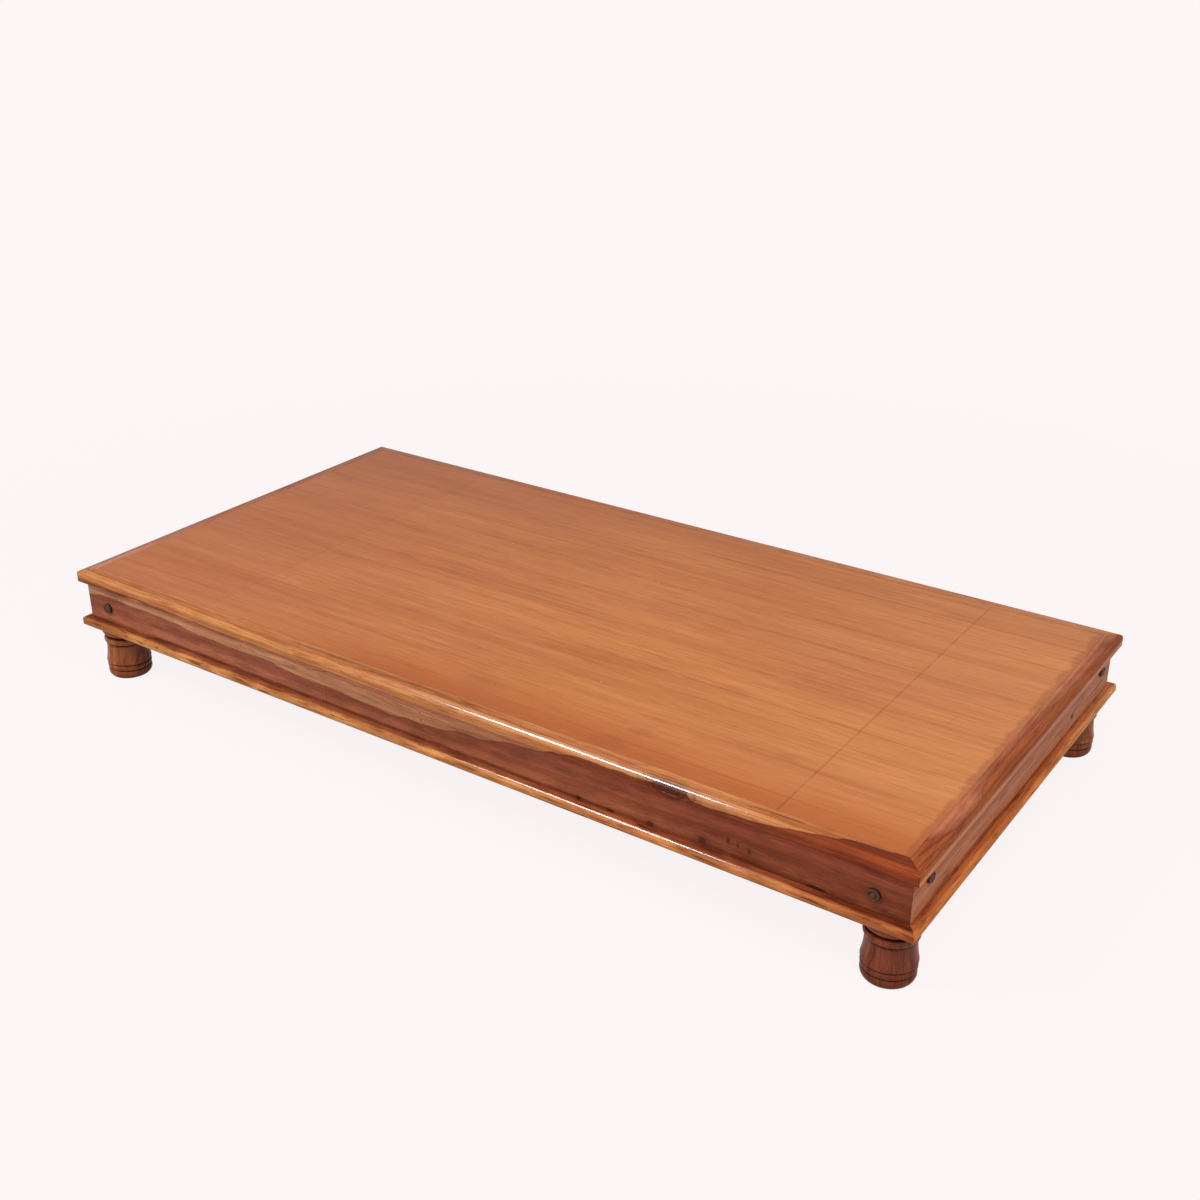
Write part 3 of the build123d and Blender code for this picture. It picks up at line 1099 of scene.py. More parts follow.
@dataclass(frozen=True)
class MetalLook:
    """Plain steel with tarnish, scratches and dirt in its grooves."""

    bright: Colour
    dull: Colour
    dirt: Colour
    metallic: float = 0.85
    roughness: Pair = (0.32, 0.55)
    ior: float = 1.5
    tarnish_scale: float = 260.0
    worn: float = 0.5
    worn_radius: float = 0.0004
    worn_scale: float = 220.0
    dirty: float = 0.75
    dirt_reach: float = 0.0025
    relief: float = 0.00004

    def material(self, name: str, effects: Effects) -> bpy.types.Material:
        """Make the material.

        Args:
            name: The material's name.
            effects: The shared node groups.

        Returns:
            The material.
        """
        paint = Paint(name, effects)
        marks = effects.tarnish.place(paint, Vector=paint.place, Scale=self.tarnish_scale)
        worn = effects.wear.place(paint, Radius=self.worn_radius, Patchiness=self.worn_scale)
        dirty = effects.grime_and_shade.place(paint, Reach=self.dirt_reach)
        body = paint.mix(marks["Patches"], self.bright, self.dull)
        body = paint.tint(body, self.bright, worn["Mask"], self.worn)
        body = paint.tint(body, self.dirt, dirty["Mask"], self.dirty)
        rough = paint.spread(marks["Patches"], *self.roughness)
        paint.set(Base_Color=body, Metallic=self.metallic, IOR=self.ior, Roughness=rough)
        paint.bump(paint.minus(marks["Patches"], marks["Scratches"]), self.relief)
        return paint.material


class Side(Enum):
    """A side of the platform, as the way it faces and the way its boards' grain runs."""

    FRONT = ((0.0, -1.0, 0.0), Grain.ALONG_X)
    RIGHT = ((1.0, 0.0, 0.0), Grain.ALONG_Y)
    BACK = ((0.0, 1.0, 0.0), Grain.ALONG_X)
    LEFT = ((-1.0, 0.0, 0.0), Grain.ALONG_Y)


def dress(node: str, *materials: bpy.types.Material) -> None:
    """Give a CAD node its materials in place of its plain one.

    Args:
        node: The node's name.
        materials: The materials.
    """
    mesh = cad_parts[node].data
    mesh.materials.clear()
    for material in materials:
        mesh.materials.append(material)
    LOG.info("%s: %s", node, ", ".join(material.name for material in materials))


def put(
    name: str, data: bpy.types.ID, place: Point = ORIGIN, turn: Quaternion = Quaternion()
) -> bpy.types.Object:
    """Put an object in the scene.

    Args:
        name: The object's name.
        data: Its mesh, lamp or camera.
        place: Where it stands.
        turn: How it is turned.

    Returns:
        The object.
    """
    made = bpy.data.objects.new(name, data)
    made.location = place
    made.rotation_mode = "QUATERNION"
    made.rotation_quaternion = turn
    bpy.context.scene.collection.objects.link(made)
    return made


@dataclass
class Deck:
    """Three veneered panels that lie inside the lipping."""

    look: VeneerLook = VeneerLook()
    panels: tuple[str, ...] = ("left_deck_panel", "middle_deck_panel", "right_deck_panel")

    def build(self, effects: Effects) -> None:
        """Dress the panels, with the seams where the middle one ends.

        Args:
            effects: The shared node groups.
        """
        low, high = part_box("middle_deck_panel")
        veneer = self.look.material(effects, (low.x, high.x))
        for panel in self.panels:
            dress(panel, veneer)


@dataclass
class MitredFrame:
    """Four boards mitred round the platform, with their looks in the order of the sides."""

    kind: str
    half_length: float
    half_width: float
    foot: float
    looks: Sequence[BoardLook]

    def chart(self, paint: Paint, side: Side) -> Socket:
        """Lay a board out flat: along it, then up its face and in over its top.

        Args:
            paint: The board's material.
            side: The side of the platform that the board is on.

        Returns:
            The flat chart.
        """
        outward, grain = side.value
        lengthwise = grain is Grain.ALONG_X
        x, y, z = paint.split(paint.place)
        reach = self.half_width if lengthwise else self.half_length
        inset = paint.minus(reach, paint.vector("DOT_PRODUCT", paint.place, outward))
        across = paint.math("ADD", inset, paint.minus(z, self.foot))
        return paint.join(x if lengthwise else y, across)

    def build(self, effects: Effects) -> None:
        """Dress the four boards.

        Args:
            effects: The shared node groups.
        """
        mitre = self.half_length - self.half_width
        for side, look in zip(Side, self.looks):
            node = f"{side.name.lower()}_{self.kind}"
            paint = Paint(node, effects)
            dress(node, look.material(paint, side.value[1], self.chart(paint, side), mitre))


@dataclass
class TurnedLegs:
    """Four turned legs, each from its own piece of wood, laid out by its height."""

    looks: Mapping[str, BoardLook]

    def build(self, effects: Effects) -> None:
        """Dress the four legs.

        Args:
            effects: The shared node groups.
        """
        for corner, look in self.looks.items():
            node = f"{corner}_leg"
            paint = Paint(node, effects)
            x, y, z = paint.split(paint.place)
            dress(node, look.material(paint, Grain.ALONG_Z, paint.join(z, x, y)))


@dataclass
class Underframe:
    """The softwood bearers and ledgers under the deck."""

    bearers: tuple[str, ...] = (
        "left_seam_bearer", "inner_bearer_1", "inner_bearer_2", "right_seam_bearer",
    )
    ledgers: tuple[str, ...] = ("front_ledger", "back_ledger")
    pith_shift: float = 0.037
    knot_places: tuple[Pair, Pair] = ((0.55, 0.09), (-0.35, 0.06))
    knot_size: Pair = (0.016, 0.011)

    def build(self, effects: Effects) -> None:
        """Dress the battens, each cut from its own part of the tree.

        Args:
            effects: The shared node groups.
        """
        for number, node in enumerate(self.bearers + self.ledgers):
            low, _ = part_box(node)
            grain = Grain.ALONG_Y if node in self.bearers else Grain.ALONG_X
            aside, end = (low.x, low.y) if node in self.bearers else (low.y, low.x)
            pith = (0.0, aside - self.pith_shift * (number + 1), low.z - self.pith_shift)
            knots = tuple(
                KnotMark((end * (start - step * number), aside), self.knot_size)
                for start, step in self.knot_places
            )
            look = SoftwoodLook(pith=pith, knots=knots)
            dress(node, look.material(Paint(node, effects), grain))


@dataclass(frozen=True)
class Station:
    """One ring of a turned mesh, in metres; what follows it takes its finish."""

    radius: float
    height: float
    thread: float = 0.0
    flats: float = 0.0
    finish: int = 0

    def reach(self, angle: float, pitch: float) -> float:
        """Find how far out the ring is at an angle.

        Args:
            angle: The angle round the axis.
            pitch: The height of one turn of the thread.

        Returns:
            The distance from the axis.
        """
        out = self.radius
        if self.flats:
            turn = angle % (math.pi / 3) - math.pi / 6
            out = min(out, self.flats / math.cos(turn))
        wave = (self.height / pitch - angle / math.tau) % 1.0
        return out - self.thread * abs(2.0 * wave - 1.0)


@dataclass
class Turning:
    """A mesh that is put together from turned shapes."""

    name: str
    segments: int
    pitch: float = 0.00125
    merge: float = 0.000002
    crease: float = 35.0
    mesh: bmesh.types.BMesh = field(default_factory=bmesh.new)

    def ring(self, seat: Matrix, station: Station) -> list[bmesh.types.BMVert]:
        """Add the corners of one ring.

        Args:
            seat: The turn and shift to where the shape belongs.
            station: The ring.

        Returns:
            Its corners.
        """
        corners = []
        for number in range(self.segments):
            angle = math.tau * number / self.segments
            out = station.reach(angle, self.pitch)
            point = Vector((out * math.cos(angle), out * math.sin(angle), station.height))
            corners.append(self.mesh.verts.new(seat @ point))
        return corners

    def lathe(self, seat: Matrix, stations: Sequence[Station], closed: bool = False) -> None:
        """Turn a shape round Z and set it on its seat.

        Args:
            seat: The turn and shift to where it belongs.
            stations: Its rings, in order.
            closed: Whether the last ring joins the first again.
        """
        rings = [self.ring(seat, station) for station in stations]
        following = rings[1:] + rings[:1] if closed else rings[1:]
        for station, low, high in zip(stations, rings, following):
            for number in range(self.segments):
                other = (number + 1) % self.segments
                face = self.mesh.faces.new((low[number], low[other], high[other], high[number]))
                face.material_index = station.finish

    def recess(
        self, seat: Matrix, radius: float, arm: float, half: float, depth: float, taper: float
    ) -> None:
        """Close a screw's head with a face that has a cross-shaped recess.

        Args:
            seat: The turn and shift to where the screw belongs.
            radius: The radius of the head.
            arm: How far each arm of the cross reaches.
            half: Half the width of an arm.
            depth: The depth of the recess.
            taper: The size of its floor as a share of its mouth's.
        """
        outline = []
        for quarter in range(4):
            turn = Matrix.Rotation(quarter * math.pi / 2, 3, "Z")
            points = ((arm, -half, 0), (arm, half, 0), (half, half, 0))
            outline += [turn @ Vector(point) for point in points]
        rim = self.ring(seat, Station(radius, 0.0))
        top = [self.mesh.verts.new(seat @ point) for point in outline]
        floor = [
            self.mesh.verts.new(seat @ Vector((point.x * taper, point.y * taper, depth)))
            for point in outline
        ]
        edges = [
            self.mesh.edges.new((loop[number - 1], loop[number]))
            for loop in (rim, top)
            for number in range(len(loop))
        ]
        bmesh.ops.triangle_fill(self.mesh, use_beauty=True, edges=edges)
        for number in range(len(top)):
            self.mesh.faces.new((top[number - 1], top[number], floor[number], floor[number - 1]))
        self.mesh.faces.new(floor)

    def finish(self, node: str, slot: str, *materials: bpy.types.Material) -> None:
        """Make the piece that stands for a CAD node.

        Args:
            node: The node's name.
            slot: Not used.
            materials: Its materials.
        """
        bmesh.ops.remove_doubles(self.mesh, verts=self.mesh.verts, dist=self.merge)
        bmesh.ops.recalc_face_normals(self.mesh, faces=self.mesh.faces)
        data = bpy.data.meshes.new(self.name)
        self.mesh.to_mesh(data)
        self.mesh.free()
        data.shade_smooth()
        data.set_sharp_from_angle(angle=math.radians(self.crease))
        for material in materials:
            data.materials.append(material)
        piece = put(self.name, data)
        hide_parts(node)
        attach(piece, "root")
        LOG.info("%s: %d faces, for %s", self.name, len(data.polygons), node)


@dataclass(frozen=True)
class Seat:
    """Where one fastener sits, as the turn and shift from its own axis, and how long it is."""

    place: Matrix
    length: float


def islands(node: str) -> list[list[Vector]]:
    """Find the separate solids of a CAD node.

    Args:
        node: The node's name.

    Returns:
        The corners of each.
    """
    loose = bmesh.new()
    loose.from_mesh(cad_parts[node].data)
    bmesh.ops.remove_doubles(loose, verts=loose.verts, dist=0.00001)
    waiting = dict.fromkeys(loose.verts)
    found = []
    while waiting:
        reached = [next(iter(waiting))]
        del waiting[reached[0]]
        for corner in reached:
            for edge in corner.link_edges:
                other = edge.other_vert(corner)
                if other in waiting:
                    del waiting[other]
                    reached.append(other)
        found.append([corner.co.copy() for corner in reached])
    loose.free()
    return found


def seats(node: str, flat: bool = False) -> list[Seat]:
    """Find where a CAD node's fasteners sit, each with its head on its own origin.

    Args:
        node: The node's name.
        flat: Whether each is wider than it is long, as a washer is.

    Returns:
        Their seats.
    """
    found = []
    for corners in islands(node):
        low, high = (
            [pick(corner[axis] for corner in corners) for axis in range(3)] for pick in (min, max)
        )
        spans = [last - first for first, last in zip(low, high)]
        axis, *across = sorted(range(3), key=lambda other: spans[other], reverse=not flat)
        widest = max(across, key=lambda other: spans[other])
        middle = Vector((first + last) / 2 for first, last in zip(low, high))
        widths = []
        for end in (low[axis], high[axis]):
            ring = [corner for corner in corners if abs(corner[axis] - end) < 0.0001]
            widths.append(max((corner - middle)[widest] for corner in ring))
        head, way = (low[axis], 1.0) if widths[0] >= widths[1] else (high[axis], -1.0)
        forward, aside = Vector(ORIGIN), Vector(ORIGIN)
        forward[axis], aside[widest], middle[axis] = way, 1.0, head
        turn = Matrix((aside, forward.cross(aside), forward)).transposed().to_4x4()
        found.append(Seat(Matrix.Translation(middle) @ turn, spans[axis]))
    return found


def mirrored(half: Sequence[Station], length: float) -> list[Station]:
    """Close a section: its lower half, then the same turned over."""
    return [*half, *(replace(ring, height=length - ring.height) for ring in reversed(half))]


@dataclass
class Fixings:
    """Bolts with their washers and nuts, and the wood screws, in metres."""

    bolt_radius: float = 0.004
    head_radius: float = 0.0105
    head_height: float = 0.0055
    head_round: float = 0.0014
    head_lip: float = 0.0003
    crown: tuple[Pair, ...] = ((0.0, 0.0006), (0.0012, 0.0005), (0.0021, 0.0001))
    groove_inner: float = 0.0049
    groove_outer: float = 0.0071
    groove_depth: float = 0.0009
    thread_depth: float = 0.0007
    thread_length: float = 0.014
    thread_step: float = 0.0003125
    bolt_point: float = 0.001
    bore_radius: float = 0.00425
    washer_radius: float = 0.011
    washer_eased: float = 0.0002
    nut_flats: float = 0.0065
    nut_corner: float = 1.2
    nut_eased: float = 0.0005
    nut_chamfer: float = 1.4
    screw_radius: float = 0.002
    screw_rim: Pair = (0.0042, 0.0002)
    screw_head: float = 0.0028
    screw_point: float = 0.005
    screw_taper: float = 0.6
    screw_pitch: float = 0.0018
    screw_thread: float = 0.0006
    screw_cross: tuple[float, ...] = (0.0022, 0.0005, 0.0018, 0.6)
    segments: tuple[int, int, int] = (40, 48, 16)
    face_steel: MetalLook = MetalLook(
        tone(108, 72, 54), tone(74, 46, 36), tone(28, 14, 10), metallic=0.1, ior=1.12
    )
    # The side of a bolt head: partly a dark ring of old varnish, partly painted shade for the
    # shadow and gap at the side of the head.
    shaded_rim_steel: MetalLook = MetalLook(
        tone(74, 46, 40), tone(44, 26, 22), tone(26, 16, 14), 0.3, (0.3, 0.45)
    )
    zinc: MetalLook = MetalLook(tone(196, 192, 182), tone(150, 144, 130), tone(84, 70, 54))

    def bolt(self, length: float) -> list[Station]:
        """List a bolt's rings, from the middle of its head's face to its tip.

        Args:
            length: Its whole length.

        Returns:
            The rings.
        """
        lip, depth, curve = self.head_lip, self.groove_depth, self.head_round
        head, top, shank = self.head_radius, self.head_height, self.bolt_radius
        face = (
            *self.crown,
            (self.groove_inner - 3 * lip, 0.0), (self.groove_inner - lip, lip / 2),
            (self.groove_inner, depth), (self.groove_outer, depth),
            (self.groove_outer + lip / 3, lip / 2), (self.groove_outer + lip, 0.0),
        )
        rings = [Station(*ring) for ring in face]
        for angle in (number * math.pi / 10 for number in range(6)):
            out, up = head - curve + curve * math.sin(angle), curve * (1.0 - math.cos(angle))
            rings.append(Station(out, up, finish=1))
        rings.append(Station(head, top - lip, finish=1))
        start = length - self.thread_length
        rings += [Station(head - lip, top), Station(shank, top), Station(shank, start)]
        for number in range(1, int((self.thread_length - self.bolt_point) / self.thread_step)):
            rings.append(Station(shank, start + number * self.thread_step, self.thread_depth))
        return [*rings, Station(shank - self.bolt_point, length), Station(0.0, length)]

    def screw(self, length: float) -> list[Station]:
        """List a wood screw's rings, from the rim of its head to its tip.

        Args:
            length: Its whole length.

        Returns:
            The rings.
        """
        start, step, shank = length / 3, self.screw_pitch / 3, self.screw_radius
        turns = range(1, int((length - self.screw_point - start) / step))
        rings = (
            (self.screw_rim[0], 0.0), self.screw_rim, (shank, self.screw_head), (shank, start),
            *((shank, start + number * step, self.screw_thread) for number in turns),
            (shank * self.screw_taper, length - self.screw_point / 2), (0.0, length),
        )
        return [Station(*ring) for ring in rings]

    def washer(self, length: float) -> list[Station]:
        """List a washer's rings, round its section.

        Args:
            length: Its thickness.

        Returns:
            The rings.
        """
        bore, rim, eased = self.bore_radius, self.washer_radius, self.washer_eased
        half = ((bore, eased), (bore + eased, 0.0), (rim - eased, 0.0), (rim, eased))
        return mirrored([Station(*ring) for ring in half], length)

    def nut(self, length: float) -> list[Station]:
        """List a hexagon nut's rings, round its section.

        Args:
            length: Its height.

        Returns:
            The rings.
        """
        bore, flats, eased = self.bore_radius, self.nut_flats, self.nut_eased
        half = (
            Station(bore, eased), Station(bore + eased, 0.0), Station(flats, 0.0, flats=flats),
            Station(self.nut_corner * flats, self.nut_chamfer * eased, flats=flats),
        )
        return mirrored(half, length)

    def build(self, effects: Effects) -> None:
        """Build and dress every fastener.

        Args:
            effects: The shared node groups.
        """
        face = self.face_steel.material("bolt_steel", effects)
        rim = self.shaded_rim_steel.material("bolt_rim_shaded", effects)
        zinc = self.zinc.material("zinc", effects)
        bolt_segments, round_segments, screw_segments = self.segments
        for node in ("long_apron_bolts", "short_apron_bolts"):
            bolts = Turning(f"{node}_turned", bolt_segments)
            for seat in seats(node):
                bolts.lathe(seat.place, self.bolt(seat.length))
            bolts.finish(node, "bolt_steel", face, rim)
        for node, stations in (("bolt_washers", self.washer), ("bolt_nuts", self.nut)):
            rounds = Turning(f"{node}_turned", round_segments)
            for seat in seats(node, flat=True):
                rounds.lathe(seat.place, stations(seat.length), closed=True)
            rounds.finish(node, "nut_steel", zinc)
        for node in ("ledger_screws", "bearer_screws", "deck_screws", "moulding_screws"):
            driven = Turning(f"{node}_turned", screw_segments, self.screw_pitch)
            for seat in seats(node):
                driven.lathe(seat.place, self.screw(seat.length))
                driven.recess(seat.place, self.screw_rim[0], *self.screw_cross)
            driven.finish(node, "screw_steel", zinc)


@dataclass(frozen=True)
class Softbox:
    """A soft rectangular lamp that faces the middle of the deck, with its power in watts."""

    name: str
    place: Point
    size: Pair
    power: float

    def hang(self) -> None:
        """Put the lamp in the scene, out of the camera's sight."""
        data = bpy.data.lights.new(self.name, "AREA")
        data.shape = "RECTANGLE"
        data.size, data.size_y = self.size
        data.energy = self.power
        lamp = put(self.name, data, self.place, Vector(self.place).to_track_quat("Z", "Y"))
        lamp.visible_camera = False


@dataclass
class Studio:
    """The camera, the lamps, the floor and what lies around them."""

    camera_place: Point = (1.5373, -2.1498, 1.4844)
    azimuth: float = 34.59
    elevation: float = 25.31
    sensor: float = 36.0
    lens: float = 45.45
    backdrop: Colour = tone(252, 246, 246)
    floor_size: float = 30.0
    shadow_share: float = 0.05
    shadow_edge: Pair = (1.1, 2.6)
    floor_gain: float = 0.95
    ambience: float = 0.34
    bounce: Colour = tone(205, 200, 198)
    lamps: tuple[Softbox, ...] = (
        Softbox("strip", (-2.08, -3.0, 3.65), (1.4, 0.9), 130.0),
        Softbox("overhead", (2.1, -1.2, 2.8), (1.6, 1.6), 62.0),
    )

    def build(self) -> None:
        """Set up the whole studio."""
        self.shoot()
        for lamp in self.lamps:
            lamp.hang()
        self.surround()
        self.lay_floor()
        bpy.context.scene.view_settings.view_transform = "Standard"
        LOG.info("studio: ready")

    def shoot(self) -> None:
        """Place the camera."""
        data = bpy.data.cameras.new("camera")
        data.sensor_width = self.sensor
        data.lens = self.lens
        turn, rise = math.radians(self.azimuth), math.radians(self.elevation)
        flat = math.cos(rise)
        back = Vector((math.sin(turn) * flat, -math.cos(turn) * flat, math.sin(rise)))
        facing = (-back).to_track_quat("-Z", "Y")
        bpy.context.scene.camera = put("camera", data, self.camera_place, facing)

    def seen(self, net: Wiring) -> Socket:
        """Tell the rays that show the surroundings from those that only light the object."""
        path = net.node("ShaderNodeLightPath").outputs
        direct = net.math("ADD", path["Is Camera Ray"], path["Is Glossy Ray"])
        return net.math("ADD", direct, path["Is Transmission Ray"], clamp=True)

    def surround(self) -> None:
        """Light the object from all around, in front of a pale backdrop."""
        world = bpy.data.worlds.new("studio")
        world.use_nodes = True
        net = Wiring(world.node_tree)
        lit = net.out("ShaderNodeBackground", {"Color": WHITE, "Strength": self.ambience})
        shown = net.out("ShaderNodeBackground", {"Color": self.backdrop, "Strength": 1.0})
        net.node("ShaderNodeOutputWorld", {"Surface": net.blend(self.seen(net), lit, shown)})
        bpy.context.scene.world = world

    def lay_floor(self) -> None:
        """Lay a pale floor that keeps the object's shadow, and is clear from below."""
        half = self.floor_size / 2
        mesh = bpy.data.meshes.new("floor")
        corners = [(-half, -half, 0), (half, -half, 0), (half, half, 0), (-half, half, 0)]
        mesh.from_pydata(corners, [], [(0, 1, 2, 3)])
        material = bpy.data.materials.new("floor")
        material.use_nodes = True
        mesh.materials.append(material)
        net = Wiring(material.node_tree)
        place = net.node("ShaderNodeTexCoord").outputs["Object"]
        far = net.step(net.vector("LENGTH", place), *self.shadow_edge)
        share = net.spread(far, self.shadow_share, 0.0)
        strength = net.minus(1.0, share)
        glow = net.out("ShaderNodeEmission", {"Color": self.backdrop, "Strength": strength})
        shade = net.shade(self.backdrop[:3], net.times(share, self.floor_gain))
        matt = net.out("ShaderNodeBsdfDiffuse", {"Color": shade})
        shown = net.out("ShaderNodeAddShader", {0: glow, 1: matt})
        plain = net.out("ShaderNodeBsdfDiffuse", {"Color": self.bounce})
        seen = self.seen(net)
        below = net.times(seen, net.node("ShaderNodeNewGeometry").outputs["Backfacing"])
        above = net.blend(seen, plain, shown)
        both = net.blend(below, above, net.out("ShaderNodeBsdfTransparent"))
        net.node("ShaderNodeOutputMaterial", {"Surface": both})
        floor = put("floor", mesh)


LIPPING_HEART = Timber(
    tone(138, 62, 34), tone(174, 90, 52), tone(76, 26, 14), line_share=0.2, streak_share=0.35,
    mottled=0.3,
)
LIPPING_SAP = Timber(tone(176, 100, 54), tone(216, 148, 92), tone(118, 52, 24), line_share=0.35)
RIGHT_HEART = Timber(
    tone(180, 102, 66), tone(222, 146, 104), tone(104, 38, 22), line_share=0.15, streak_share=0.3,
    mottled=0.35,
)
RIGHT_SAP = Timber(tone(136, 62, 28), tone(178, 98, 50), tone(92, 32, 16), line_share=0.3)
LIPPING_RED = Timber(tone(158, 90, 58), tone(194, 128, 90), tone(110, 50, 28))
APRON_HEART = Timber(
    tone(142, 72, 49), tone(172, 98, 66), tone(74, 28, 16), line_share=0.1, streak_share=0.2,
    mottled=0.4, flecked=0.25,
)
APRON_SAP = Timber(tone(156, 98, 64), tone(196, 136, 94), tone(96, 48, 28), line_share=0.15)
RIGHT_RED = Timber(tone(176, 102, 72), tone(206, 134, 98), tone(110, 46, 30), line_share=0.15)
MOULDING_GOLD = Timber(
    tone(186, 108, 56), tone(246, 176, 106), tone(112, 50, 22), mottled=0.55, flecked=0.8
)
MOULDING_ORANGE = Timber(
    tone(184, 97, 42), tone(236, 148, 74), tone(120, 50, 22), mottled=0.45, flecked=0.7
)
LEG_RED = Timber(tone(112, 48, 28), tone(150, 78, 50), tone(62, 20, 10), line_share=0.35)
LEG_BROWN = Timber(tone(146, 76, 38), tone(188, 112, 66), tone(80, 32, 16), line_share=0.35)

LIPPING_SHINE = Shine(ior=1.07, roughness=0.36, coat=0.06, rounded=(0.018, 0.034), coat_ior=1.7)
MOULDING_SHINE = Shine(
    ior=1.08, roughness=0.34, coat=0.06, rounded=(0.015, 0.026), coat_ior=1.48,
    round_start=(-0.08, 0.45), round_end=(0.76, 0.62),
)
PLAIN_SHINE = Shine(ior=1.09, roughness=0.36, coat=0.08, coat_roughness=0.06)
SIDE_SHINE = Shine(ior=1.06, roughness=0.4, variation=0.1, coat=0.05, coat_roughness=0.1)
LEG_SHINE = Shine(ior=1.05, roughness=0.3, variation=0.1, coat=0.25, coat_roughness=0.07)

# Painted shade: the top of a moulding, beside the apron and under the lipping, is darkened.
MOULDING_TOP_SHADE = Drift(0.020, 0.028, (0.7, 0.55, 0.6), True)

FRONT_LIPPING = BoardLook(
    timber=LIPPING_HEART,
    sapwood=LIPPING_SAP,
    pith=(0.0, -0.62, 0.10),
    border=(
        (-0.915, -0.020), (0.200, -0.012), (0.256, 0.000), (0.300, 0.010), (0.369, 0.0152),
        (0.437, 0.0147), (0.470, 0.017), (0.500, 0.024), (0.530, 0.017), (0.548, 0.009),
        (0.600, 0.0095), (0.662, 0.0152), (0.725, 0.0258), (0.769, 0.0382), (0.806, 0.0482),
        (0.850, 0.0532), (0.881, 0.058), (0.915, 0.060),
    ),
    knots=(KnotMark((0.500, 0.016), (0.034, 0.015), 0.5, 0.85),),
    streaks=(
        Streak((-0.852, 0.0075), (-0.684, 0.0068), 0.0016, 0.8),
        Streak((-0.690, 0.0065), (-0.500, 0.0030), 0.0010, 0.5),
        Streak((0.000, 0.0400), (0.130, 0.0400), 0.0030, 0.35),
        Streak((0.240, 0.0440), (0.390, 0.0450), 0.0020, 0.4),
        Streak((0.590, 0.0400), (0.640, 0.0410), 0.0020, 0.6),
        Streak((0.630, 0.0440), (0.730, 0.0470), 0.0035, 0.7),
        Streak((0.660, 0.0395), (0.700, 0.0405), 0.0020, 0.5),
        Streak((-0.165, 0.0400), (-0.050, 0.0420), 0.0040, 0.35),
        Streak((-0.215, 0.0000), (-0.214, 0.0150), 0.0007, 0.6),
        # Painted highlight: the pale glint at the foot of the knot.
        Streak((0.485, 0.0070), (0.515, 0.0065), 0.0014, 0.6, True),
        Streak((-0.960, 0.0040), (-0.600, 0.0030), 0.0100, 0.65),
        Streak((-0.360, 0.0460), (0.180, 0.0460), 0.0100, 0.4),
    ),
    drifts=(Drift(0.62, 0.82, (0.80, 0.68, 0.64)),),
    wander=0.035,
    ring_width=0.007,
    shine=LIPPING_SHINE,
)
RIGHT_LIPPING = BoardLook(
    timber=RIGHT_HEART,
    sapwood=RIGHT_SAP,
    pith=(0.0, 1.05, 0.30),
    heart_below=False,
    near_share=0.6,
    border=(
        (-0.4575, 0.070), (-0.400, 0.060), (-0.370, 0.048), (-0.345, 0.036), (-0.310, 0.028),
        (-0.240, 0.026), (-0.205, 0.036), (-0.120, 0.044), (0.000, 0.042), (0.100, 0.037),
        (0.200, 0.034), (0.4575, 0.030),
    ),
    knots=(KnotMark((0.390, 0.042), (0.012, 0.006), 0.0, 0.5),),
    drifts=(
        # Painted reflection: the first drift lightens and whitens the face, for the pale floor
        # that it reflects.
        Drift(0.016, 0.008, (1.9, 2.5, 2.8), True), Drift(0.048, 0.058, (0.66, 0.54, 0.50), True),
    ),
    streaks=(
        Streak((-0.190, 0.0200), (0.170, 0.0175), 0.0022, 0.75),
        Streak((-0.440, 0.0240), (-0.330, 0.0165), 0.0030, 0.75),
        Streak((-0.450, 0.0350), (-0.350, 0.0300), 0.0024, 0.7),
        Streak((-0.430, 0.0500), (-0.320, 0.0320), 0.0036, 0.7),
        Streak((0.187, 0.0050), (0.188, 0.0200), 0.0008, 0.7),
    ),
    shine=PLAIN_SHINE,
)
BACK_LIPPING = BoardLook(
    timber=LIPPING_RED,
    pith=(0.0, 0.30, -0.20),
    knots=(KnotMark((-0.420, 0.012), (0.012, 0.006)),),
    streaks=(
        Streak((0.160, 0.0180), (0.222, 0.0180), 0.0040, 0.7),
        Streak((-0.700, 0.0460), (-0.380, 0.0430), 0.0016, 0.5),
    ),
    # Painted light and shade: lighter towards the right end, darker and bluer towards the left
    # end, as on the deck.
    drifts=(Drift(-0.2, 0.8, (1.12, 1.16, 1.12)), Drift(-0.4, -0.8, (0.86, 0.98, 1.1))),
    shine=PLAIN_SHINE,
)
LEFT_LIPPING = BoardLook(
    timber=LIPPING_RED,
    sapwood=LIPPING_SAP,
    pith=(0.0, -0.75, 0.05),
    border=(
        (-0.4575, 0.022), (-0.260, 0.027), (-0.050, 0.019), (0.180, 0.024), (0.4575, 0.012),
    ),
    heart_below=False,
    knots=(KnotMark((0.130, 0.008), (0.009, 0.005)),),
    # Painted highlight and shade: the front end is much lighter and whiter, and the back end
    # darker, as on the deck.
    drifts=(Drift(-0.05, -0.42, (1.32, 1.65, 2.2)), Drift(0.1, 0.4, (0.85, 0.95, 1.1))),
    shine=PLAIN_SHINE,
)
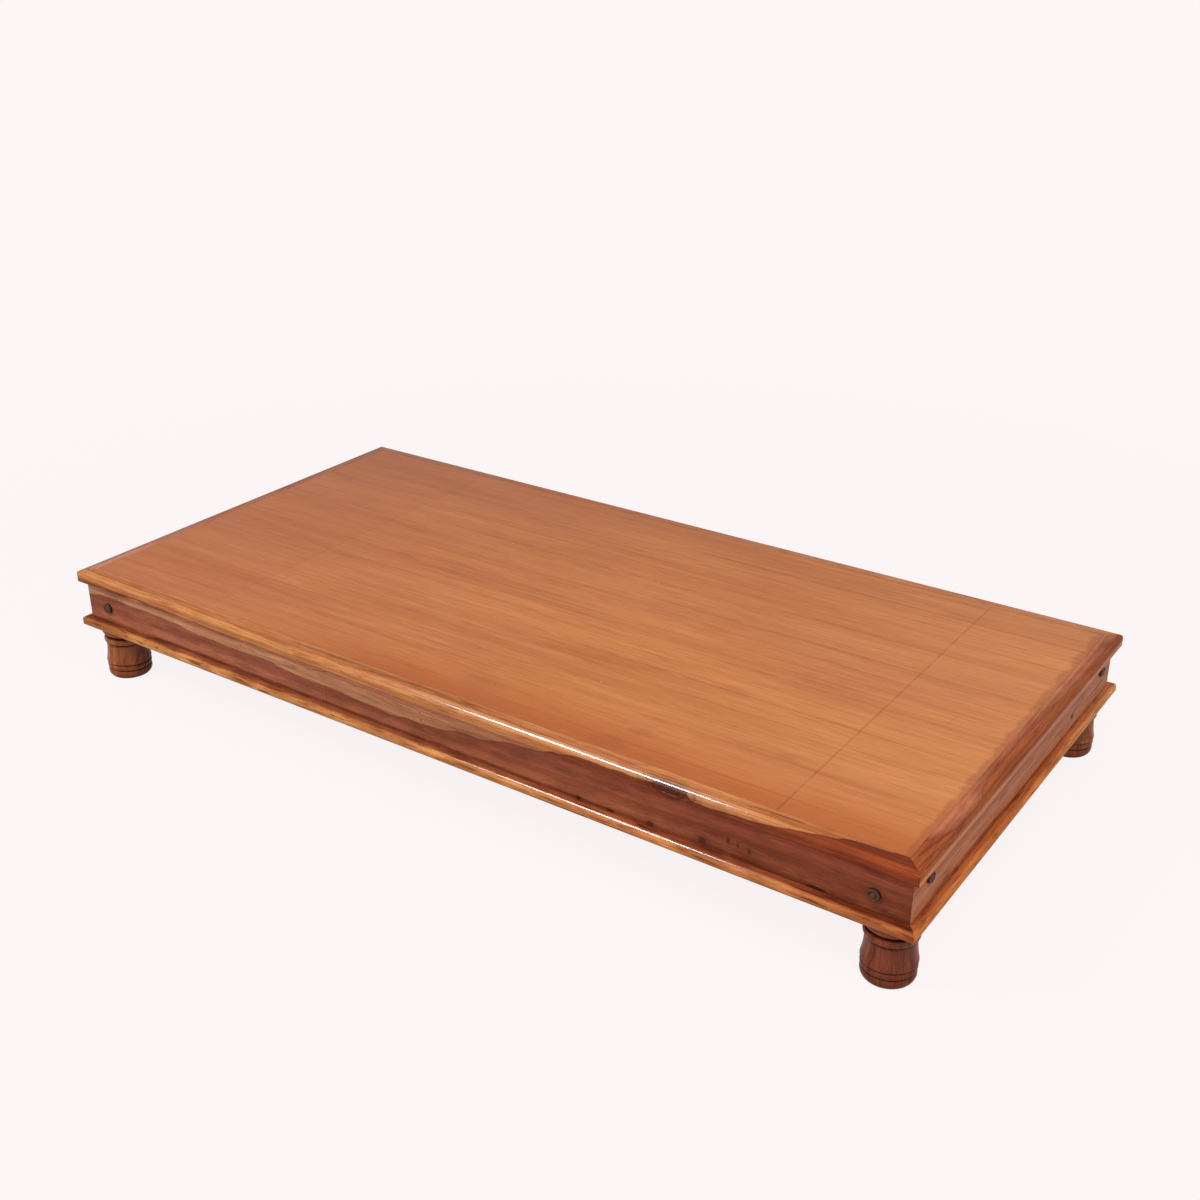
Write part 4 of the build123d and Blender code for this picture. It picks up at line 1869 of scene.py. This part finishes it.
FRONT_APRON = BoardLook(
    timber=APRON_HEART,
    sapwood=APRON_SAP,
    pith=(0.0, -0.36, -0.06),
    border=(
        (-0.901, 0.0500), (-0.850, 0.0545), (-0.825, 0.0555), (-0.750, 0.0535), (-0.675, 0.0530),
        (-0.605, 0.0475), (-0.545, 0.0455), (-0.490, 0.0440), (-0.405, 0.0455), (-0.340, 0.0390),
        (-0.301, 0.0375), (-0.218, 0.0370), (-0.168, 0.0325), (-0.134, 0.0310), (-0.080, 0.0290),
        (-0.051, 0.0325), (0.016, 0.0355), (0.066, 0.0430), (0.099, 0.0455), (0.149, 0.0535),
        (0.195, 0.0605), (0.235, 0.0650), (0.270, 0.0735), (0.305, 0.0790), (0.360, 0.0900),
        (0.901, 0.0950),
    ),
    line_share=0.45,
    near_share=0.15,
    wander=0.05,
    ring_width=0.013,
    knots=(
        KnotMark((0.5530, 0.0115), (0.0085, 0.0075), 0.6),
        KnotMark((0.5990, 0.0275), (0.0034, 0.0062), 0.55),
        KnotMark((0.6155, 0.0260), (0.0022, 0.0032), 0.5),
        KnotMark((0.6360, 0.0220), (0.0024, 0.0052), 0.5),
        KnotMark((0.4570, 0.0055), (0.0075, 0.0065), 0.6),
        KnotMark((0.3180, 0.0035), (0.0050, 0.0040)),
        KnotMark((0.3800, 0.0015), (0.0090, 0.0032)),
        KnotMark((0.7510, 0.0020), (0.0200, 0.0045)),
        KnotMark((0.8600, 0.0095), (0.0040, 0.0030), 0.4, 0.2),
        KnotMark((0.4920, 0.0730), (0.0180, 0.0060), 0.0, 0.6),
        KnotMark((-0.0185, 0.0541), (0.0015, 0.0015), 0.9, 0.2),
        KnotMark((-0.0168, 0.0400), (0.0015, 0.0015), 0.9, 0.2),
        KnotMark((-0.4606, 0.0565), (0.0015, 0.0015), 0.9, 0.2),
        KnotMark((-0.8250, 0.0580), (0.0200, 0.0080), 0.0, 0.4),
    ),
    streaks=(
        Streak((-0.700, 0.0710), (-0.470, 0.0680), 0.0013, 0.5),
        Streak((-0.480, 0.0680), (-0.305, 0.0640), 0.0013, 0.55),
        Streak((-0.301, 0.0565), (-0.225, 0.0710), 0.0013, 0.6),
        Streak((-0.235, 0.0715), (-0.190, 0.0620), 0.0013, 0.5),
        Streak((-0.200, 0.0620), (0.030, 0.0570), 0.0013, 0.5),
        Streak((-0.244, -0.0020), (-0.244, 0.0200), 0.0010, 0.9),
        Streak((-0.244, 0.0160), (-0.243, 0.0440), 0.0008, 0.4),
        Streak((-0.032, 0.0020), (-0.032, 0.0470), 0.0008, 0.35),
        Streak((0.071, 0.0140), (0.070, 0.0450), 0.0008, 0.35),
        # Dark band along the foot, where the apron meets the moulding: partly polish residue,
        # partly painted shade.
        Streak((-0.890, 0.0030), (0.520, 0.0030), 0.0055, 0.6),
        Streak((0.520, 0.0040), (0.960, 0.0040), 0.0300, 0.45),
        Streak((0.651, 0.0605), (0.718, 0.0685), 0.0011, 0.15, True),
        Streak((0.718, 0.0685), (0.768, 0.0685), 0.0011, 0.15, True),
        Streak((0.768, 0.0685), (0.822, 0.0605), 0.0011, 0.15, True),
        Streak((0.815, 0.0605), (0.897, 0.0575), 0.0011, 0.15, True),
    ),
    drifts=(
        Drift(0.30, 0.62, (0.86, 0.76, 0.70)),
        # Painted reflection: the left end is lighter and bluer, for the pale floor that it
        # reflects.
        Drift(0.10, -0.40, (1.16, 1.26, 1.36)),
        # Painted light: the top of the apron is lightened against the shadow that the lipping
        # casts on it.
        Drift(0.046, 0.066, (1.5, 1.4, 1.6), True),
    ),
    grimy_and_shaded=0.35,
    shine=PLAIN_SHINE,
)
RIGHT_APRON = BoardLook(
    timber=RIGHT_RED,
    pith=(0.0, 0.70, -0.10),
    knots=(KnotMark((0.240, 0.024), (0.007, 0.005)),),
    # Dark band along the foot at the front end, where the apron meets the moulding: partly polish
    # residue, partly painted shade.
    streaks=(Streak((-0.42, 0.0060), (-0.05, 0.0040), 0.0060, 0.5),),
    # Painted sheen: lighter and paler towards the back end.
    drifts=(Drift(-0.1, 0.45, (1.1, 1.25, 1.35)),),
    shine=SIDE_SHINE,
)
BACK_APRON = BoardLook(
    timber=APRON_HEART,
    sapwood=APRON_SAP,
    pith=(0.0, 0.20, 0.62),
    border=(
        (-0.901, 0.020), (-0.500, 0.031), (-0.200, 0.024), (0.100, 0.036), (0.500, 0.051),
        (0.901, 0.046),
    ),
    knots=(KnotMark((-0.330, 0.034), (0.010, 0.007)), KnotMark((0.640, 0.018), (0.007, 0.005))),
    streaks=(Streak((-0.800, 0.0600), (-0.200, 0.0560), 0.0014, 0.4),),
    shine=PLAIN_SHINE,
)
LEFT_APRON = BoardLook(
    timber=APRON_HEART,
    sapwood=APRON_SAP,
    pith=(0.0, -0.72, -0.14),
    border=((-0.4435, 0.058), (-0.150, 0.049), (0.160, 0.061), (0.4435, 0.070)),
    knots=(KnotMark((-0.120, 0.020), (0.008, 0.006)),),
    shine=PLAIN_SHINE,
)
FRONT_MOULDING = BoardLook(
    timber=MOULDING_GOLD,
    pith=(0.0, -0.50, 0.33),
    knots=(
        KnotMark((-0.780, 0.013), (0.005, 0.0025), 0.3, 0.5),
        KnotMark((-0.735, 0.010), (0.006, 0.0020), 0.3, 0.5),
        KnotMark((-0.690, 0.014), (0.005, 0.0022), 0.3, 0.5),
    ),
    drifts=(
        Drift(-0.70, -0.88, (0.78, 0.66, 0.62)),
        Drift(0.15, 0.45, (0.94, 0.80, 0.76)),
        Drift(0.70, 0.86, (0.72, 0.62, 0.62)),
        # Painted shade: the top beside the apron is darkened.
        Drift(0.020, 0.028, (0.46, 0.32, 0.40), True),
    ),
    shine=MOULDING_SHINE,
)
RIGHT_MOULDING = BoardLook(
    timber=MOULDING_ORANGE,
    pith=(0.0, 0.78, 0.20),
    drifts=(
        # Painted shade on the top beside the apron, and painted sheen: lighter and paler towards
        # the back end.
        MOULDING_TOP_SHADE, Drift(0.0, 0.45, (1.08, 1.4, 1.9)),
    ),
    shine=PLAIN_SHINE,
)
BACK_MOULDING = BoardLook(
    timber=MOULDING_GOLD,
    pith=(0.0, 0.33, -0.10),
    knots=(KnotMark((0.300, 0.010), (0.006, 0.004)),),
    drifts=(MOULDING_TOP_SHADE,),
    shine=PLAIN_SHINE,
)
LEFT_MOULDING = BoardLook(
    timber=MOULDING_GOLD,
    pith=(0.0, -0.80, 0.24),
    drifts=(MOULDING_TOP_SHADE,),
    shine=PLAIN_SHINE,
)

# Darker towards the foot; then a dark band at the collar groove, painted shade, which the third
# drift ends, leaving the leg above it a little lighter.
LEG_DRIFTS = (
    Drift(0.045, 0.015, (0.78, 0.66, 0.58)),
    Drift(0.0685, 0.0735, (0.46, 0.36, 0.30)),
    Drift(0.0755, 0.0775, (2.30, 3.00, 3.60)),
)

FRONT_LEFT_LEG = BoardLook(
    timber=LEG_BROWN, pith=(-0.1, -0.30, -0.55), ring_width=0.008, drifts=LEG_DRIFTS, grimy_and_shaded=0.9,
    grime_and_shade_reach=0.018, shine=LEG_SHINE,
)
FRONT_RIGHT_LEG = replace(
    FRONT_LEFT_LEG, timber=LEG_RED, pith=(-0.1, 0.30, -0.52), grimy_and_shaded=0.85,
    drifts=(Drift(0.08, 0.1, (1.4, 1.5, 1.4)), *LEG_DRIFTS),
)
BACK_RIGHT_LEG = replace(FRONT_LEFT_LEG, pith=(-0.1, 1.05, 0.22), ring_width=0.009)
BACK_LEFT_LEG = replace(BACK_RIGHT_LEG, timber=LEG_RED, pith=(-0.1, -1.02, 0.31))


def build_takht() -> None:
    """Build and dress every sub-assembly of the takht, from the top down."""
    effects = Effects()
    lippings = (FRONT_LIPPING, RIGHT_LIPPING, BACK_LIPPING, LEFT_LIPPING)
    aprons = (FRONT_APRON, RIGHT_APRON, BACK_APRON, LEFT_APRON)
    mouldings = (FRONT_MOULDING, RIGHT_MOULDING, BACK_MOULDING, LEFT_MOULDING)
    legs = {
        "front_right": FRONT_RIGHT_LEG, "front_left": FRONT_LEFT_LEG,
        "back_right": BACK_RIGHT_LEG, "back_left": BACK_LEFT_LEG,
    }
    Deck().build(effects)
    MitredFrame("lipping", 0.915, 0.4575, 0.209, lippings).build(effects)
    MitredFrame("apron", 0.901, 0.4435, 0.1325, aprons).build(effects)
    MitredFrame("base_moulding", 0.9165, 0.459, 0.111, mouldings).build(effects)
    TurnedLegs(legs).build(effects)
    Underframe().build(effects)
    Fixings().build(effects)


def main() -> None:
    """Set up logging, and build the studio and the takht."""
    logging.basicConfig(level=logging.INFO, format="%(name)s %(message)s")
    Studio().build()
    build_takht()


if __name__ == "__main__":
    main()
